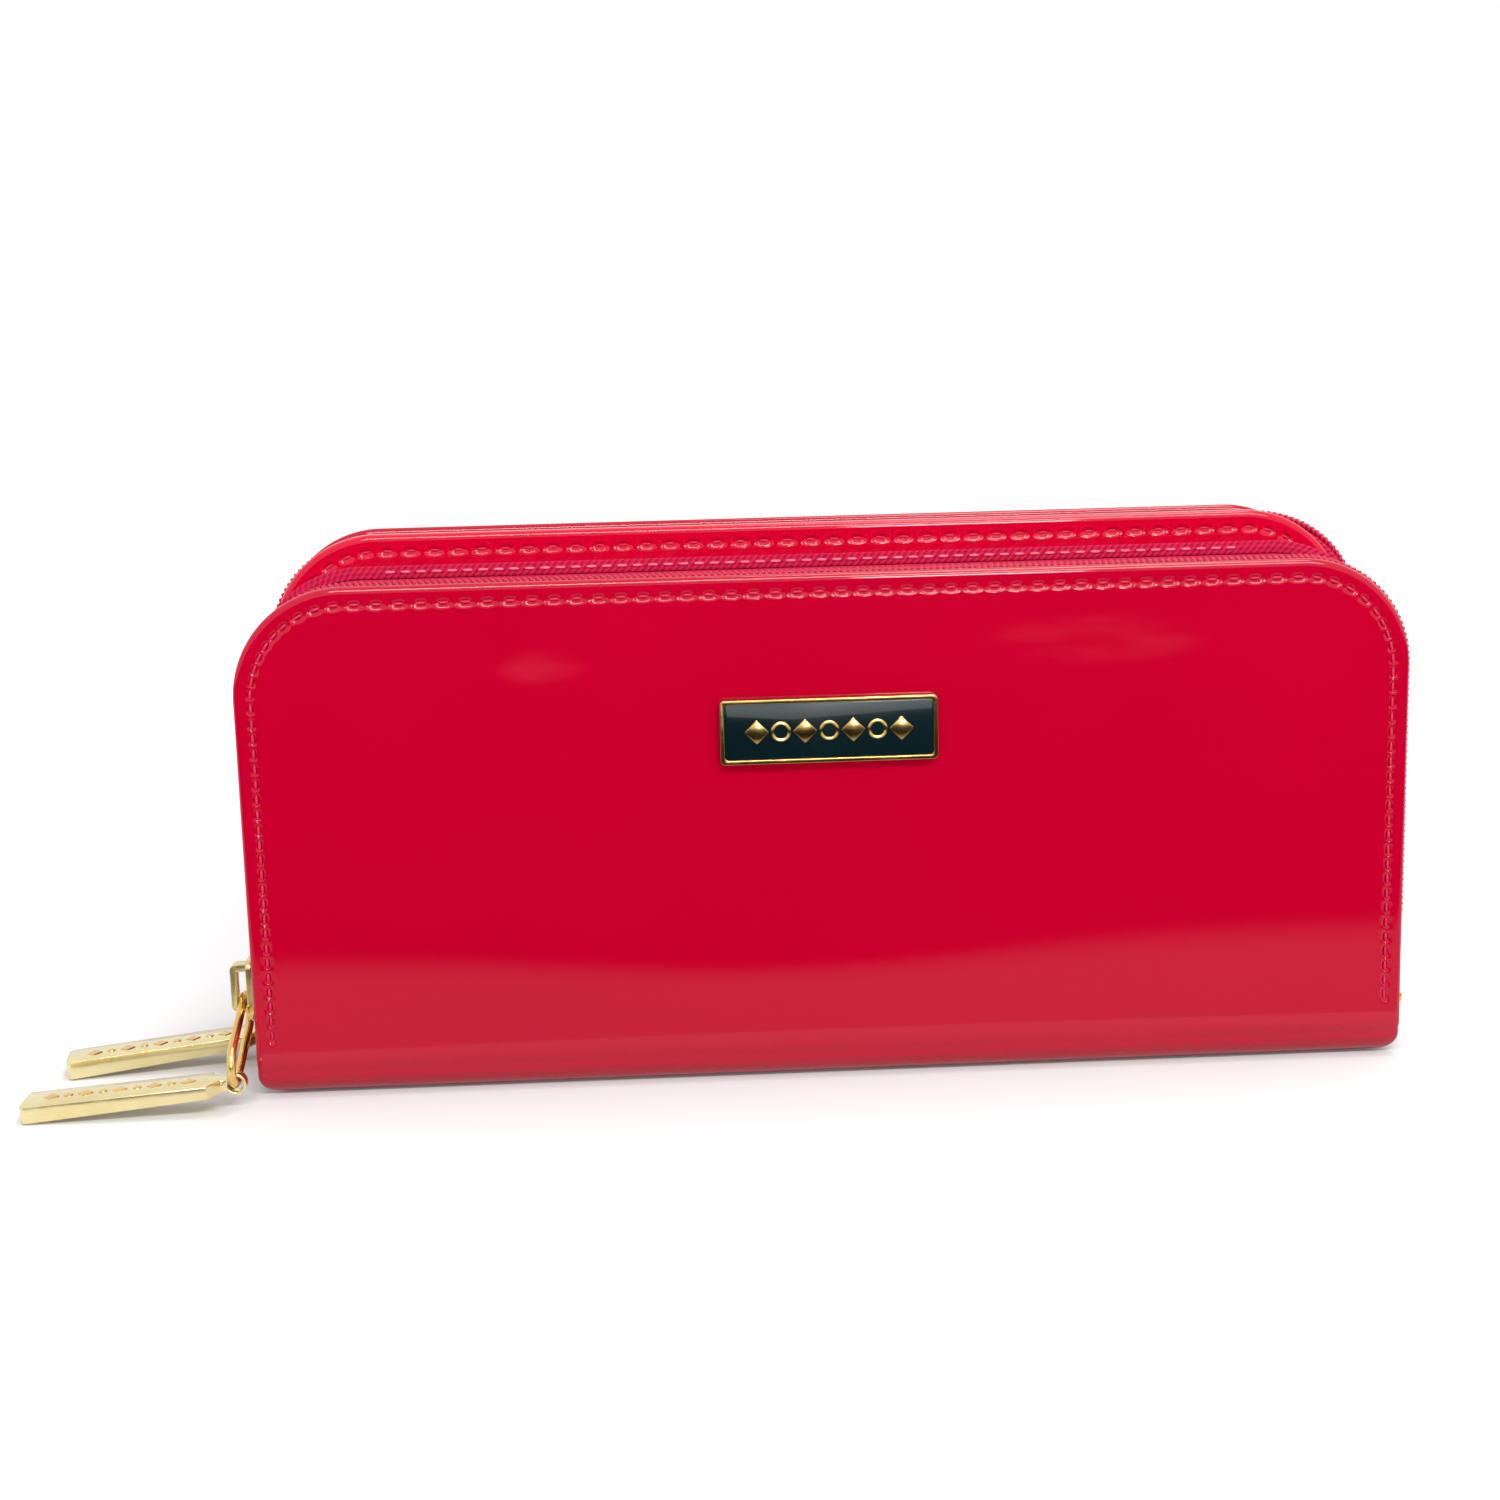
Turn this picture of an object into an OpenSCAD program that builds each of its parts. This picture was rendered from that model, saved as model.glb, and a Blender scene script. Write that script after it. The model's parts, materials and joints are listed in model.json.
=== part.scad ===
// Double zip-around wallet, standing on its folded spine.
// X is the width, Y the depth (front cover faces -Y), Z is up.
// The origin is the centre of the base, on the surface it stands on.
// A stiff divider stands on the base. The front cover folds down at the front of
// the base and the back cover at its back, and each is closed by its own zip,
// which runs up the left side, over the top and down the right side.

/* [Covers] */
// Width of the front cover
cover_w = 200; // [190:1:210]
// Height of the front cover's top edge
cover_h = 88.5; // [86:0.5:92]
// Radius of the covers' top corners
cover_corner_r = 19; // [16:1:22]
// Radius of the covers' bottom corners
cover_foot_r = 1.5; // [1:0.5:3]
// Thickness of a finished cover
cover_t = 3; // [2.6:0.1:3.4]
// Width of the back cover
back_w = 197; // [190:1:200]
// Height of the back cover's top edge
back_h = 94; // [90:0.5:96]

/* [Divider] */
// Width of the divider
divider_w = 194; // [190:1:198]
// Height of the divider's top edge
divider_h = 94.6; // [92:0.2:98]
// Thickness of the divider
divider_t = 3.2; // [3:0.1:3.6]

/* [Compartments] */
// Clear depth between front cover and divider
front_depth = 25; // [24:0.5:28]
// Clear depth between divider and back cover
rear_depth = 16.4; // [16:0.2:20]
// Outer radius of the leather fold between a cover and the base
fold_r = 6; // [5.5:0.5:7]

/* [Leather and boards] */
// Thickness of the outer leather
leather_t = 1.1; // [0.9:0.1:1.2]
// Thickness of a stiffening board
board_t = 1.2; // [1:0.1:1.4]
// Width of the turned edge round a board
turned_edge = 1.5; // [1.2:0.1:2]
// Distance of the topstitch from the edge
stitch_inset = 3; // [2.5:0.1:3.5]

/* [Main zips] */
// Width of one half of the coil
coil_w = 1.8; // [1.6:0.1:2]
// Height of the coil on its tape
coil_h = 1.6; // [1.4:0.1:1.8]
// Thickness of the woven tape
tape_t = 0.7; // [0.6:0.1:0.8]
// Top of the front zip's coil
front_zip_top = 88.4; // [86:0.2:90]
// Top of the rear zip's coil
rear_zip_top = 93.8; // [93:0.2:97]
// Distance from the front cover's face to the front zip's centre line
front_zip_y = 9; // [8.8:0.2:10]
// Distance from the divider's back to the rear zip's centre line
rear_zip_y = 5.5; // [5.2:0.1:7]

/* [Pulls] */
// Length of a pull bar from its eye to its end
bar_l = 36; // [30:1:40]
// Width of a pull bar
bar_w = 8; // [6:0.5:8]
// Thickness of a pull bar at its free end
bar_t = 3.2; // [2.8:0.1:3.4]
// Thickness of a pull bar at its eye
bar_eye_t = 2.2; // [1.8:0.1:2.6]
// Straight length of the wire link
link_straight = 14; // [12:1:15]
// Lean of the link from upright, towards the front
link_lean = 70; // [60:1:75]

/* [Plaque] */
// Width of the plaque
plaque_w = 37; // [30:1:44]
// Height of the plaque
plaque_h = 11; // [8:1:14]
// Distance from the cover's top edge to the plaque's centre
plaque_drop = 26.5; // [22:0.5:34]

/* [Coin pocket] */
// Width of the coin pocket
pocket_w = 160; // [140:2:164]
// Height of the coin pocket's top
pocket_h = 60; // [54:1:60]
// Depth of the coin pocket
pocket_d = 7.9; // [7.6:0.1:8.4]

/* [Hidden] */
$fn = 64;
// depth places, front to back
total_d = cover_t + front_depth + divider_t + rear_depth + cover_t;
y_front = -total_d / 2;
y_cover_in = y_front + cover_t;
y_div = y_cover_in + front_depth;
y_div_back = y_div + divider_t;
y_back_in = y_div_back + rear_depth;
y_back = y_back_in + cover_t;
y_fzip = y_front + front_zip_y;
y_rzip = y_div_back + rear_zip_y;
// the base lies between the two folds
base_front = y_front + fold_r;
base_back = y_back - fold_r;
base_half = cover_w / 2 - 5;
fold_inset = 0.6;
base_lining_t = 0.6;
floor_z = leather_t + board_t + base_lining_t;
cover_foot = fold_r + 0.3;
lining_t = cover_t - leather_t - board_t;
base_len = base_back - base_front;
base_board_inset = 1;
tab_t = 1.2;
tab_h = 9;
div_face_t = (divider_t - board_t) / 2;
// topstitch, drawn as a thin line just proud of the leather
thread_w = 0.45;
thread_t = 0.2;
stitch_end = 5;
// the plaque, and the prongs that hold it
plaque_z = cover_h - plaque_drop;
plaque_proud = 1.1;
plaque_rim = 0.7;
plaque_corner_r = 0.8;
plaque_floor_t = 0.4;
enamel_drop = 0.2;
prong_r = 0.5;
prong_x = plaque_w / 2 - 4;
prong_head = 1;
back_plate_t = 0.4;
back_plate_inset = 2;
// the zips: width, sideways shift and corner radius of each coil line
front_zip_w = 202.8;
front_zip_shift = 1;
rear_zip_w = 200.8;
rear_zip_shift = 1.5;
zip_corner_r = 19.5;
zip_foot = 8;
coil_gap = 0.4;
tape_depth = coil_h + tape_t;
flange_depth = 10;
flange_t = 0.6;
wall_gap = 0.05;
// the main slider, in its own frame: x outward from the coil's top, z along the zip
slider_l = 11;
slider_half = 4.2;
plate_t = 1;
plate_gap = 0.3;
lip_w = 0.8;
arch_hole = 2.1;
arch_bar = 1.2;
arch_half = 1.2;
arch_z0 = 1.2;
arch_z1 = 9.8;
arch_leg = 1.4;
wire_r = 0.75;
link_r = 3.4;
link_x = plate_gap + plate_t + arch_hole / 2;
hang_z = 3.9;
slider_z = 12.5;
coil_start = slider_z + slider_l + 1;
x_fleft = front_zip_shift - front_zip_w / 2;
x_rleft = rear_zip_shift - rear_zip_w / 2;
eye_r = 1.9;
eye_hole_r = 1.3;
eye_half = 1.1;
bar_droop = 5.8;
rear_bar_turn = 8;
lean_y = -link_straight * sin(link_lean);
link_drop = 2 * link_r + link_straight * cos(link_lean);
// card slots
slot_w = 172;
slot_t = 0.75;
slot_step = 11;
slot_foot = 11;
slot_first = 26;
slot_standoff = 1.1;
slip_pocket_h = 60;
partition_y = 7.4;
partition_t = 0.6;
partition_h = 80;
// coin pocket
pocket_wall = 0.8;
y_pocket_back = y_div - 0.1;
y_pocket = y_pocket_back - pocket_d;
y_czip = (y_pocket + y_pocket_back) / 2;
pocket_foot = floor_z + 0.3;
coin_coil_w = 0.8;
coin_coil_h = 1;
coin_tape_t = 0.5;
coin_coil_top = pocket_h + coin_coil_h;
coin_plate_t = 0.8;
coin_plate_gap = 0.25;
coin_half = 2.6;
coin_l = 8;
coin_start = -68;
coin_pin_z = coin_coil_top + coin_plate_gap + coin_plate_t + 0.8;

// ---------- outlines, drawn with x across and y up ----------

// Rounded outline from z0 to z1 with one radius at the top and one at the foot.
module outline(w, z0, z1, top_r, foot_r) {
    translate([-w / 2, z0 + foot_r])
        square([w, z1 - z0 - foot_r - top_r]);
    translate([-w / 2 + top_r, z1 - 2 * top_r])
        square([w - 2 * top_r, 2 * top_r]);
    translate([-w / 2 + foot_r, z0])
        square([w - 2 * foot_r, 2 * foot_r]);
    for (s = [-1, 1]) {
        translate([s * (w / 2 - top_r), z1 - top_r]) circle(r = top_r);
        translate([s * (w / 2 - foot_r), z0 + foot_r]) circle(r = foot_r);
    }
}

// The same outline, made smaller by an even inset.
module inset_outline(w, z0, z1, top_r, foot_r, inset) {
    outline(w - 2 * inset, z0 + inset, z1 - inset, top_r - inset, max(foot_r - inset, 0.5));
}

// Stands a flat outline up, from depth y0, t thick towards the back.
module upright(y0, t) {
    translate([0, y0 + t, 0]) rotate([90, 0, 0]) linear_extrude(t) children();
}

// An arch-shaped band between two depths under the coil line of a zip.
module zip_band(w, top, shift, d0, d1, foot) {
    translate([shift, 0]) difference() {
        outline(w - 2 * d0, -40, top - d0, zip_corner_r - d0, 1);
        outline(w - 2 * d1, -60, top - d1, zip_corner_r - d1, 1);
        translate([-w, -80]) square([2 * w, 80 + foot]);
    }
}

// ---------- covers ----------

// Outer leather of a cover: the face, and the edge turned round the board.
module cover_leather(w, h, y_face, dir) {
    y0 = dir > 0 ? y_face : y_face - leather_t;
    y1 = dir > 0 ? y_face + leather_t - 0.01 : y_face - leather_t - board_t;
    upright(y0, leather_t)
        outline(w, cover_foot, h, cover_corner_r, cover_foot_r);
    upright(y1, board_t + 0.01) difference() {
        outline(w, cover_foot, h, cover_corner_r, cover_foot_r);
        inset_outline(w, cover_foot, h, cover_corner_r, cover_foot_r, turned_edge);
    }
}

// Stiffening board that fills the turned edge.
module cover_board(w, h, y0) {
    upright(y0, board_t)
        inset_outline(w, cover_foot, h, cover_corner_r, cover_foot_r, turned_edge + wall_gap);
}

// Woven lining glued over the board and the turned edge.
module cover_lining(w, h, y0) {
    upright(y0, lining_t)
        inset_outline(w, cover_foot, h, cover_corner_r, cover_foot_r, 0.8);
}

// Line of topstitch, just proud of the leather.
module stitch_line(w, h, y0, foot) {
    upright(y0, thread_t) intersection() {
        difference() {
            inset_outline(w, cover_foot, h, cover_corner_r, cover_foot_r, stitch_inset);
            inset_outline(w, cover_foot, h, cover_corner_r, cover_foot_r, stitch_inset + thread_w);
        }
        translate([-w, foot]) square([2 * w, h]);
    }
}

module front_cover_leather() {
    color("crimson") cover_leather(cover_w, cover_h, y_front, 1);
}
module front_cover_board() {
    color("burlywood") cover_board(cover_w, cover_h, y_front + leather_t);
}
module front_cover_lining() {
    color("firebrick") cover_lining(cover_w, cover_h, y_front + leather_t + board_t);
}
module front_cover_thread() {
    color("darkred") stitch_line(cover_w, cover_h, y_front - thread_t, cover_foot + stitch_end);
}
module back_cover_leather() {
    color("crimson") cover_leather(back_w, back_h, y_back, -1);
}
module back_cover_board() {
    color("burlywood") cover_board(back_w, back_h, y_back - leather_t - board_t);
}
module back_cover_lining() {
    color("firebrick") cover_lining(back_w, back_h, y_back_in);
}
module back_cover_thread() {
    color("darkred") stitch_line(back_w, back_h, y_back, cover_foot + stitch_end);
}

// ---------- plaque ----------

// Plaque outline, inset evenly.
module plaque_outline(inset) {
    translate([0, plaque_z]) outline(plaque_w - 2 * inset, -plaque_h / 2 + inset,
        plaque_h / 2 - inset, plaque_corner_r, plaque_corner_r);
}

// Cast frame with a floor under the enamel and two prongs that go through the cover.
module plaque_frame() {
    color("gold") {
        upright(y_front - plaque_proud, plaque_proud) difference() {
            plaque_outline(0);
            plaque_outline(plaque_rim);
        }
        upright(y_front - plaque_floor_t, plaque_floor_t) plaque_outline(0.2);
        for (s = [-1, 1])
            translate([s * prong_x, y_front + cover_t + prong_head, plaque_z])
                rotate([90, 0, 0])
                    cylinder(r = prong_r, h = cover_t + prong_head + 0.2, $fn = 24);
    }
}
// Glossy enamel poured inside the frame.
module plaque_enamel() {
    color("darkslategray")
        upright(y_front - plaque_proud + enamel_drop, plaque_proud - enamel_drop - plaque_floor_t)
            plaque_outline(plaque_rim);
}
// Thin plate on the lining side that the prongs are riveted over.
module plaque_back_plate() {
    color("silver") difference() {
        upright(y_cover_in, back_plate_t) plaque_outline(back_plate_inset);
        for (s = [-1, 1])
            translate([s * prong_x, y_cover_in + 2, plaque_z])
                rotate([90, 0, 0]) cylinder(r = prong_r + wall_gap, h = 4, $fn = 24);
    }
}

// ---------- card slots ----------

// One stepped card slot strip, thin leather, its mouth at height top.
module slot_strip(y0, foot, top) {
    upright(y0, slot_t) outline(slot_w, foot, top, 2, 2);
}

function slot_top(k) = slot_foot + slot_first + slot_step * (4 - k);

// Strip k of the front cover; number 1 lies against the lining, behind the plaque's plate.
module front_slot(k) {
    color("indianred")
        slot_strip(y_cover_in + slot_standoff + (slot_t + wall_gap) * (k - 1), slot_foot,
            slot_top(k));
}
module front_slot_1() { front_slot(1); }
module front_slot_2() { front_slot(2); }
module front_slot_3() { front_slot(3); }
module front_slot_4() { front_slot(4); }

// Strip k of the back cover, lying against its lining.
module rear_slot(k) {
    color("indianred")
        slot_strip(y_back_in - (slot_t + wall_gap) * k, slot_foot, slot_top(k));
}
module rear_slot_1() { rear_slot(1); }
module rear_slot_2() { rear_slot(2); }
module rear_slot_3() { rear_slot(3); }

// ---------- base and folds ----------

module base_leather() {
    color("crimson") translate([-base_half, base_front, 0])
        cube([2 * base_half, base_len, leather_t]);
}
module base_board() {
    color("burlywood")
        translate([-base_half + base_board_inset, base_front + base_board_inset, leather_t])
            cube([2 * (base_half - base_board_inset), base_len - 2 * base_board_inset, board_t]);
}
module base_lining() {
    color("firebrick") translate([-base_half, base_front, leather_t + board_t])
        cube([2 * base_half, base_len, base_lining_t]);
}

// A quarter tube of bare leather from the base up to a cover's foot.
module fold(y_axis, side, half) {
    translate([-half, y_axis, fold_r]) rotate([0, 90, 0]) difference() {
        intersection() {
            cylinder(r = fold_r, h = 2 * half);
            translate([0, side > 0 ? 0 : -fold_r - 1, -1])
                cube([fold_r + 1, fold_r + 1, 2 * half + 2]);
        }
        translate([0, 0, -1]) cylinder(r = fold_r - leather_t, h = 2 * half + 2);
    }
}
module front_fold() {
    color("crimson") fold(base_front, -1, cover_w / 2 - fold_inset);
}
module rear_fold() {
    color("crimson") fold(base_back, 1, back_w / 2 - fold_inset);
}

// Small leather tabs that finish the zip's ends at both sides of the base.
module end_tabs(y0, y1) {
    color("brown") for (s = [-1, 1])
        translate([s * (base_half - tab_t / 2) - tab_t / 2, y0, floor_z])
            cube([tab_t, y1 - y0, tab_h]);
}
module front_end_tabs() {
    end_tabs(base_front + 1, y_div - 0.8);
}
module rear_end_tabs() {
    end_tabs(y_div_back + 1, base_back - 0.8);
}

// ---------- divider ----------

module div_outline(inset) {
    outline(divider_w - 2 * inset, floor_z, divider_h - inset, cover_corner_r - inset, 1);
}
// Front leather, with the edge turned round the board.
module divider_front_leather() {
    color("crimson") {
        upright(y_div, div_face_t) div_outline(0);
        upright(y_div + div_face_t - 0.01, board_t + 0.01) difference() {
            div_outline(0);
            div_outline(turned_edge);
        }
    }
}
module divider_board() {
    color("burlywood") upright(y_div + div_face_t, board_t) div_outline(turned_edge + wall_gap);
}
module divider_rear_leather() {
    color("crimson") upright(y_div_back - div_face_t, div_face_t) div_outline(0.4);
}
// Topstitch along the divider's top edge.
module divider_thread() {
    color("darkred") upright(y_div - thread_t, thread_t) intersection() {
        difference() {
            div_outline(stitch_inset);
            div_outline(stitch_inset + thread_w);
        }
        translate([-divider_w, front_zip_top + 1]) square([2 * divider_w, divider_h]);
    }
}
// Slip pocket on the divider's back.
module divider_slip_pocket() {
    color("indianred")
        slot_strip(y_div_back + flange_t + 2 * wall_gap, floor_z + 0.4, slip_pocket_h);
}
// Cloth partition between the two note compartments.
module bill_divider() {
    color("firebrick") upright(y_div_back + partition_y, partition_t)
        outline(slot_w, floor_z, partition_h, 4, 1);
}

// ---------- main zips ----------

// Tape half: the part that lies on the panel, and the wall that runs out to the coil.
module tape(w, top, shift, y_panel, y_edge) {
    dir = y_edge > y_panel ? 1 : -1;
    upright(min(y_panel, y_edge), abs(y_edge - y_panel))
        zip_band(w, top, shift, coil_h, tape_depth, zip_foot);
    upright(dir > 0 ? y_panel : y_panel - flange_t, flange_t)
        zip_band(w, top, shift, coil_h, flange_depth, zip_foot);
}
// Coil half, which ends above the parked slider on the moving side.
module coil(w, top, shift, y_center, dir, foot) {
    upright(dir > 0 ? y_center + coil_gap : y_center - coil_gap - coil_w, coil_w)
        difference() {
            zip_band(w, top, shift, 0, coil_h, zip_foot + 1.5);
            translate([-w, -1]) square([w, foot + 1]);
        }
}
// End stops crimped on the tape's edge at both feet.
module stops(w, top, shift, y_center, dir) {
    upright(dir > 0 ? y_center + coil_gap : y_center - coil_gap - coil_w, coil_w)
        intersection() {
            zip_band(w, top, shift, 0, coil_h - 0.05, zip_foot);
            translate([-w, 0]) square([2 * w, zip_foot + 1.4]);
        }
}

module front_zip_cover_tape() {
    color("maroon")
        tape(front_zip_w, front_zip_top, front_zip_shift, y_cover_in, y_fzip - coil_gap);
}
module front_zip_cover_coil() {
    color("crimson") coil(front_zip_w, front_zip_top, front_zip_shift, y_fzip, -1, coil_start);
}
module front_zip_cover_stops() {
    color("goldenrod") stops(front_zip_w, front_zip_top, front_zip_shift, y_fzip, -1);
}
module front_zip_divider_tape() {
    color("maroon") {
        tape(front_zip_w, front_zip_top, front_zip_shift, y_div, y_fzip + coil_gap);
        // selvedge that stands up against the divider, where it is sewn on
        translate([-divider_w / 2 + cover_corner_r, y_div - flange_t, front_zip_top - coil_h - 0.1])
            cube([divider_w - 2 * cover_corner_r, flange_t, 2.2]);
    }
}
module front_zip_divider_coil() {
    color("crimson") coil(front_zip_w, front_zip_top, front_zip_shift, y_fzip, 1, 0);
}
module front_zip_divider_stops() {
    color("goldenrod") stops(front_zip_w, front_zip_top, front_zip_shift, y_fzip, 1);
}
// Row of fine stitches that holds the selvedge.
module divider_tape_thread() {
    color("darkred")
        translate([-divider_w / 2 + cover_corner_r + 1, y_div - flange_t - thread_t,
            front_zip_top - coil_h + 1])
            cube([divider_w - 2 * cover_corner_r - 2, thread_t, thread_w - 0.05]);
}

module rear_zip_divider_tape() {
    color("maroon")
        tape(rear_zip_w, rear_zip_top, rear_zip_shift, y_div_back, y_rzip - coil_gap);
}
module rear_zip_divider_coil() {
    color("crimson") coil(rear_zip_w, rear_zip_top, rear_zip_shift, y_rzip, -1, 0);
}
module rear_zip_divider_stops() {
    color("goldenrod") stops(rear_zip_w, rear_zip_top, rear_zip_shift, y_rzip, -1);
}
module rear_zip_cover_tape() {
    color("maroon")
        tape(rear_zip_w, rear_zip_top, rear_zip_shift, y_back_in, y_rzip + coil_gap);
}
module rear_zip_cover_coil() {
    color("crimson") coil(rear_zip_w, rear_zip_top, rear_zip_shift, y_rzip, 1, coil_start);
}
module rear_zip_cover_stops() {
    color("goldenrod") stops(rear_zip_w, rear_zip_top, rear_zip_shift, y_rzip, 1);
}

// ---------- sliders and pulls ----------

// Flat plate with rounded corners, x from x0 to x0 + t, z from 0 to l.
module slider_plate(x0, t, half, l, r) {
    translate([x0, 0, 0]) rotate([90, 0, 90]) linear_extrude(t) {
        translate([-half + r, 0]) square([2 * half - 2 * r, l]);
        translate([-half, r]) square([2 * half, l - 2 * r]);
        for (y = [-half + r, half - r], z = [r, l - r])
            translate([y, z]) circle(r = r, $fn = 32);
    }
}
// Arch that the link hangs in: a rounded bow with a rounded window.
module slider_arch(x0, hole, bar, z0, z1, leg, half) {
    translate([0, half, 0]) rotate([90, 0, 0]) linear_extrude(2 * half) difference() {
        union() {
            translate([x0 - 0.2, z0]) square([hole + 0.2, z1 - z0]);
            translate([x0, z0 + bar]) square([hole + bar, z1 - z0 - 2 * bar]);
            for (z = [z0 + bar, z1 - bar])
                translate([x0 + hole, z]) circle(r = bar, $fn = 32);
        }
        translate([x0, z0 + leg]) square([hole, z1 - z0 - 2 * leg]);
    }
}
// Slider in its own frame: x = 0 at the coil's top, outward is +x, z along the zip.
module slider(l, half, t, gap, under, lip_to, lip, hole, bar, z0, z1, leg, a_half) {
    slider_plate(gap, t, half, l, 1.5);
    slider_plate(-under - t, t, half, l, 1.5);
    for (s = [-1, 1])
        translate([-lip_to, s > 0 ? half - lip : -half, 1.5])
            cube([lip_to + gap + 0.1, lip, l - 3]);
    // thin web between the two halves of the coil
    translate([-under - 0.1, -0.25, 0]) cube([under + gap + 0.2, 0.5, 3]);
    slider_arch(gap + t, hole, bar, z0, z1, leg, a_half);
}
module main_slider() {
    slider(slider_l, slider_half, plate_t, plate_gap, tape_depth + plate_gap,
        coil_h - plate_gap, lip_w, arch_hole, arch_bar, arch_z0, arch_z1, arch_leg, arch_half);
}
// Puts a slider's frame on the left side of a zip: outward is -X.
module on_left(x_coil, y_center) {
    translate([x_coil, y_center, slider_z]) mirror([1, 0, 0]) children();
}
module front_slider() {
    color("khaki") on_left(x_fleft, y_fzip) main_slider();
}
module rear_slider() {
    color("khaki") on_left(x_rleft, y_rzip) main_slider();
}

// Half of a round wire bow, in the plane x = 0, opening downwards.
module wire_bow() {
    rotate([0, 90, 0]) rotate([0, 0, 90])
        rotate_extrude(angle = 180) translate([link_r, 0]) circle(r = wire_r, $fn = 24);
}
// Long wire link, hung by its upper bow at the frame's origin and leaning to -Y.
module link() {
    translate([0, 0, -link_r]) rotate([-link_lean, 0, 0]) {
        wire_bow();
        for (y = [-link_r, link_r])
            translate([0, y, -link_straight]) cylinder(r = wire_r, h = link_straight, $fn = 24);
        translate([0, 0, -link_straight]) rotate([180, 0, 0]) wire_bow();
    }
}
// Pull bar: an eye on the link's lower bow, a short neck and a broad bar that is
// thinner at the neck than at its free end.
module pull_bar(turn) {
    rotate([0, -bar_droop, 0]) difference() {
        union() {
            translate([0, eye_half, 0]) rotate([90, 0, 0]) cylinder(r = eye_r, h = 2 * eye_half);
            rotate([0, 0, turn]) intersection() {
                translate([0, 0, -bar_t]) linear_extrude(2 * bar_t) bar_plan();
                translate([0, bar_w, 0]) rotate([90, 0, 0]) linear_extrude(2 * bar_w)
                    polygon([[0, -bar_eye_t / 2], [0, bar_eye_t / 2],
                        [-bar_l - 1, bar_t - bar_eye_t / 2], [-bar_l - 1, -bar_eye_t / 2]]);
            }
        }
        translate([0, 5, 0]) rotate([90, 0, 0]) cylinder(r = eye_hole_r, h = 10);
    }
}
// The bar seen from above: neck, shoulders and a plate with eased end corners.
module bar_plan() {
    translate([-4, -eye_half]) square([3, 2 * eye_half]);
    polygon([[-2.4, -eye_half], [-2.4, eye_half], [-4.4, bar_w / 2], [-4.4, -bar_w / 2]]);
    translate([-bar_l + 1, -bar_w / 2]) square([bar_l - 5.4, bar_w]);
    translate([-bar_l, -bar_w / 2 + 1]) square([2, bar_w - 2]);
    for (y = [-1, 1])
        translate([-bar_l + 1, y * (bar_w / 2 - 1)]) circle(r = 1, $fn = 32);
}
// Puts the link's frame at its place in a slider's arch.
module in_arch(x_coil, y_center) {
    translate([x_coil - link_x, y_center, slider_z + hang_z]) children();
}
module at_eye(x_coil, y_center) {
    in_arch(x_coil, y_center) translate([0, lean_y, -link_drop]) children();
}
module front_link() {
    color("gold") in_arch(x_fleft, y_fzip) link();
}
module rear_link() {
    color("gold") in_arch(x_rleft, y_rzip) link();
}
module front_pull_bar() {
    color("khaki") at_eye(x_fleft, y_fzip) pull_bar(0);
}
module rear_pull_bar() {
    color("khaki") at_eye(x_rleft, y_rzip) pull_bar(rear_bar_turn);
}

// ---------- coin pocket ----------

module coin_pocket_front() {
    color("indianred") upright(y_pocket, pocket_wall)
        outline(pocket_w, pocket_foot, pocket_h, 2, 2);
}
module coin_pocket_back() {
    color("indianred") upright(y_pocket_back - pocket_wall, pocket_wall)
        outline(pocket_w, pocket_foot, pocket_h, 2, 2);
}
// Strip that joins front and back round the sides and foot.
module coin_pocket_gusset() {
    color("firebrick") upright(y_pocket + pocket_wall, pocket_d - 2 * pocket_wall)
        difference() {
            outline(pocket_w, pocket_foot, pocket_h, 2, 2);
            outline(pocket_w - 1.6, pocket_foot + 0.8, pocket_h + 10, 1.2, 1.2);
        }
}
// The two tapes of the small zip, one from each wall to the coil.
module coin_zip_tapes() {
    w = pocket_w - 1.7;
    y0 = y_pocket + pocket_wall;
    y1 = y_pocket_back - pocket_wall;
    color("maroon") for (y = [y0, y_czip + coil_gap])
        translate([-w / 2, y, pocket_h - coin_tape_t])
            cube([w, (y1 - y0) / 2 - coil_gap, coin_tape_t]);
}
module coin_zip_coils() {
    color("crimson") for (y = [y_czip - coil_gap - coin_coil_w, y_czip + coil_gap])
        translate([-74, y, pocket_h]) cube([148, coin_coil_w, coin_coil_h]);
}
module coin_zip_stops() {
    color("goldenrod") for (x = [-75.6, 74.1])
        translate([x, y_czip - coil_gap - coin_coil_w, pocket_h])
            cube([1.5, 2 * (coil_gap + coin_coil_w), coin_coil_h]);
}
// Puts the small slider's frame on top of the pocket: outward is up, along is +X.
module on_pocket() {
    translate([coin_start, y_czip, coin_coil_top]) rotate([0, 90, 0]) mirror([1, 0, 0]) children();
}
module coin_slider() {
    color("khaki") on_pocket()
        slider(coin_l, coin_half, coin_plate_t, coin_plate_gap,
            coin_coil_h + coin_tape_t + coin_plate_gap, coin_coil_h - coin_plate_gap,
            0.6, 1.6, 0.9, 0.8, 7.2, 1.1, 0.8);
}
// Pull with a cross pin under the arch, two arms and a slim tab.
module coin_pull() {
    color("gold") translate([coin_start + 4, y_czip, coin_pin_z]) {
        translate([0, 2.1, 0]) rotate([90, 0, 0]) cylinder(r = 0.5, h = 4.2, $fn = 24);
        for (s = [-1, 1])
            translate([-0.5, s * 1.8 - 0.35, -0.5]) cube([6, 0.7, 1]);
        translate([5, 0, -0.5]) linear_extrude(1) {
            translate([0, -2.4]) square([13, 4.8]);
            translate([13, 0]) circle(r = 2.4, $fn = 48);
        }
    }
}

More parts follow.
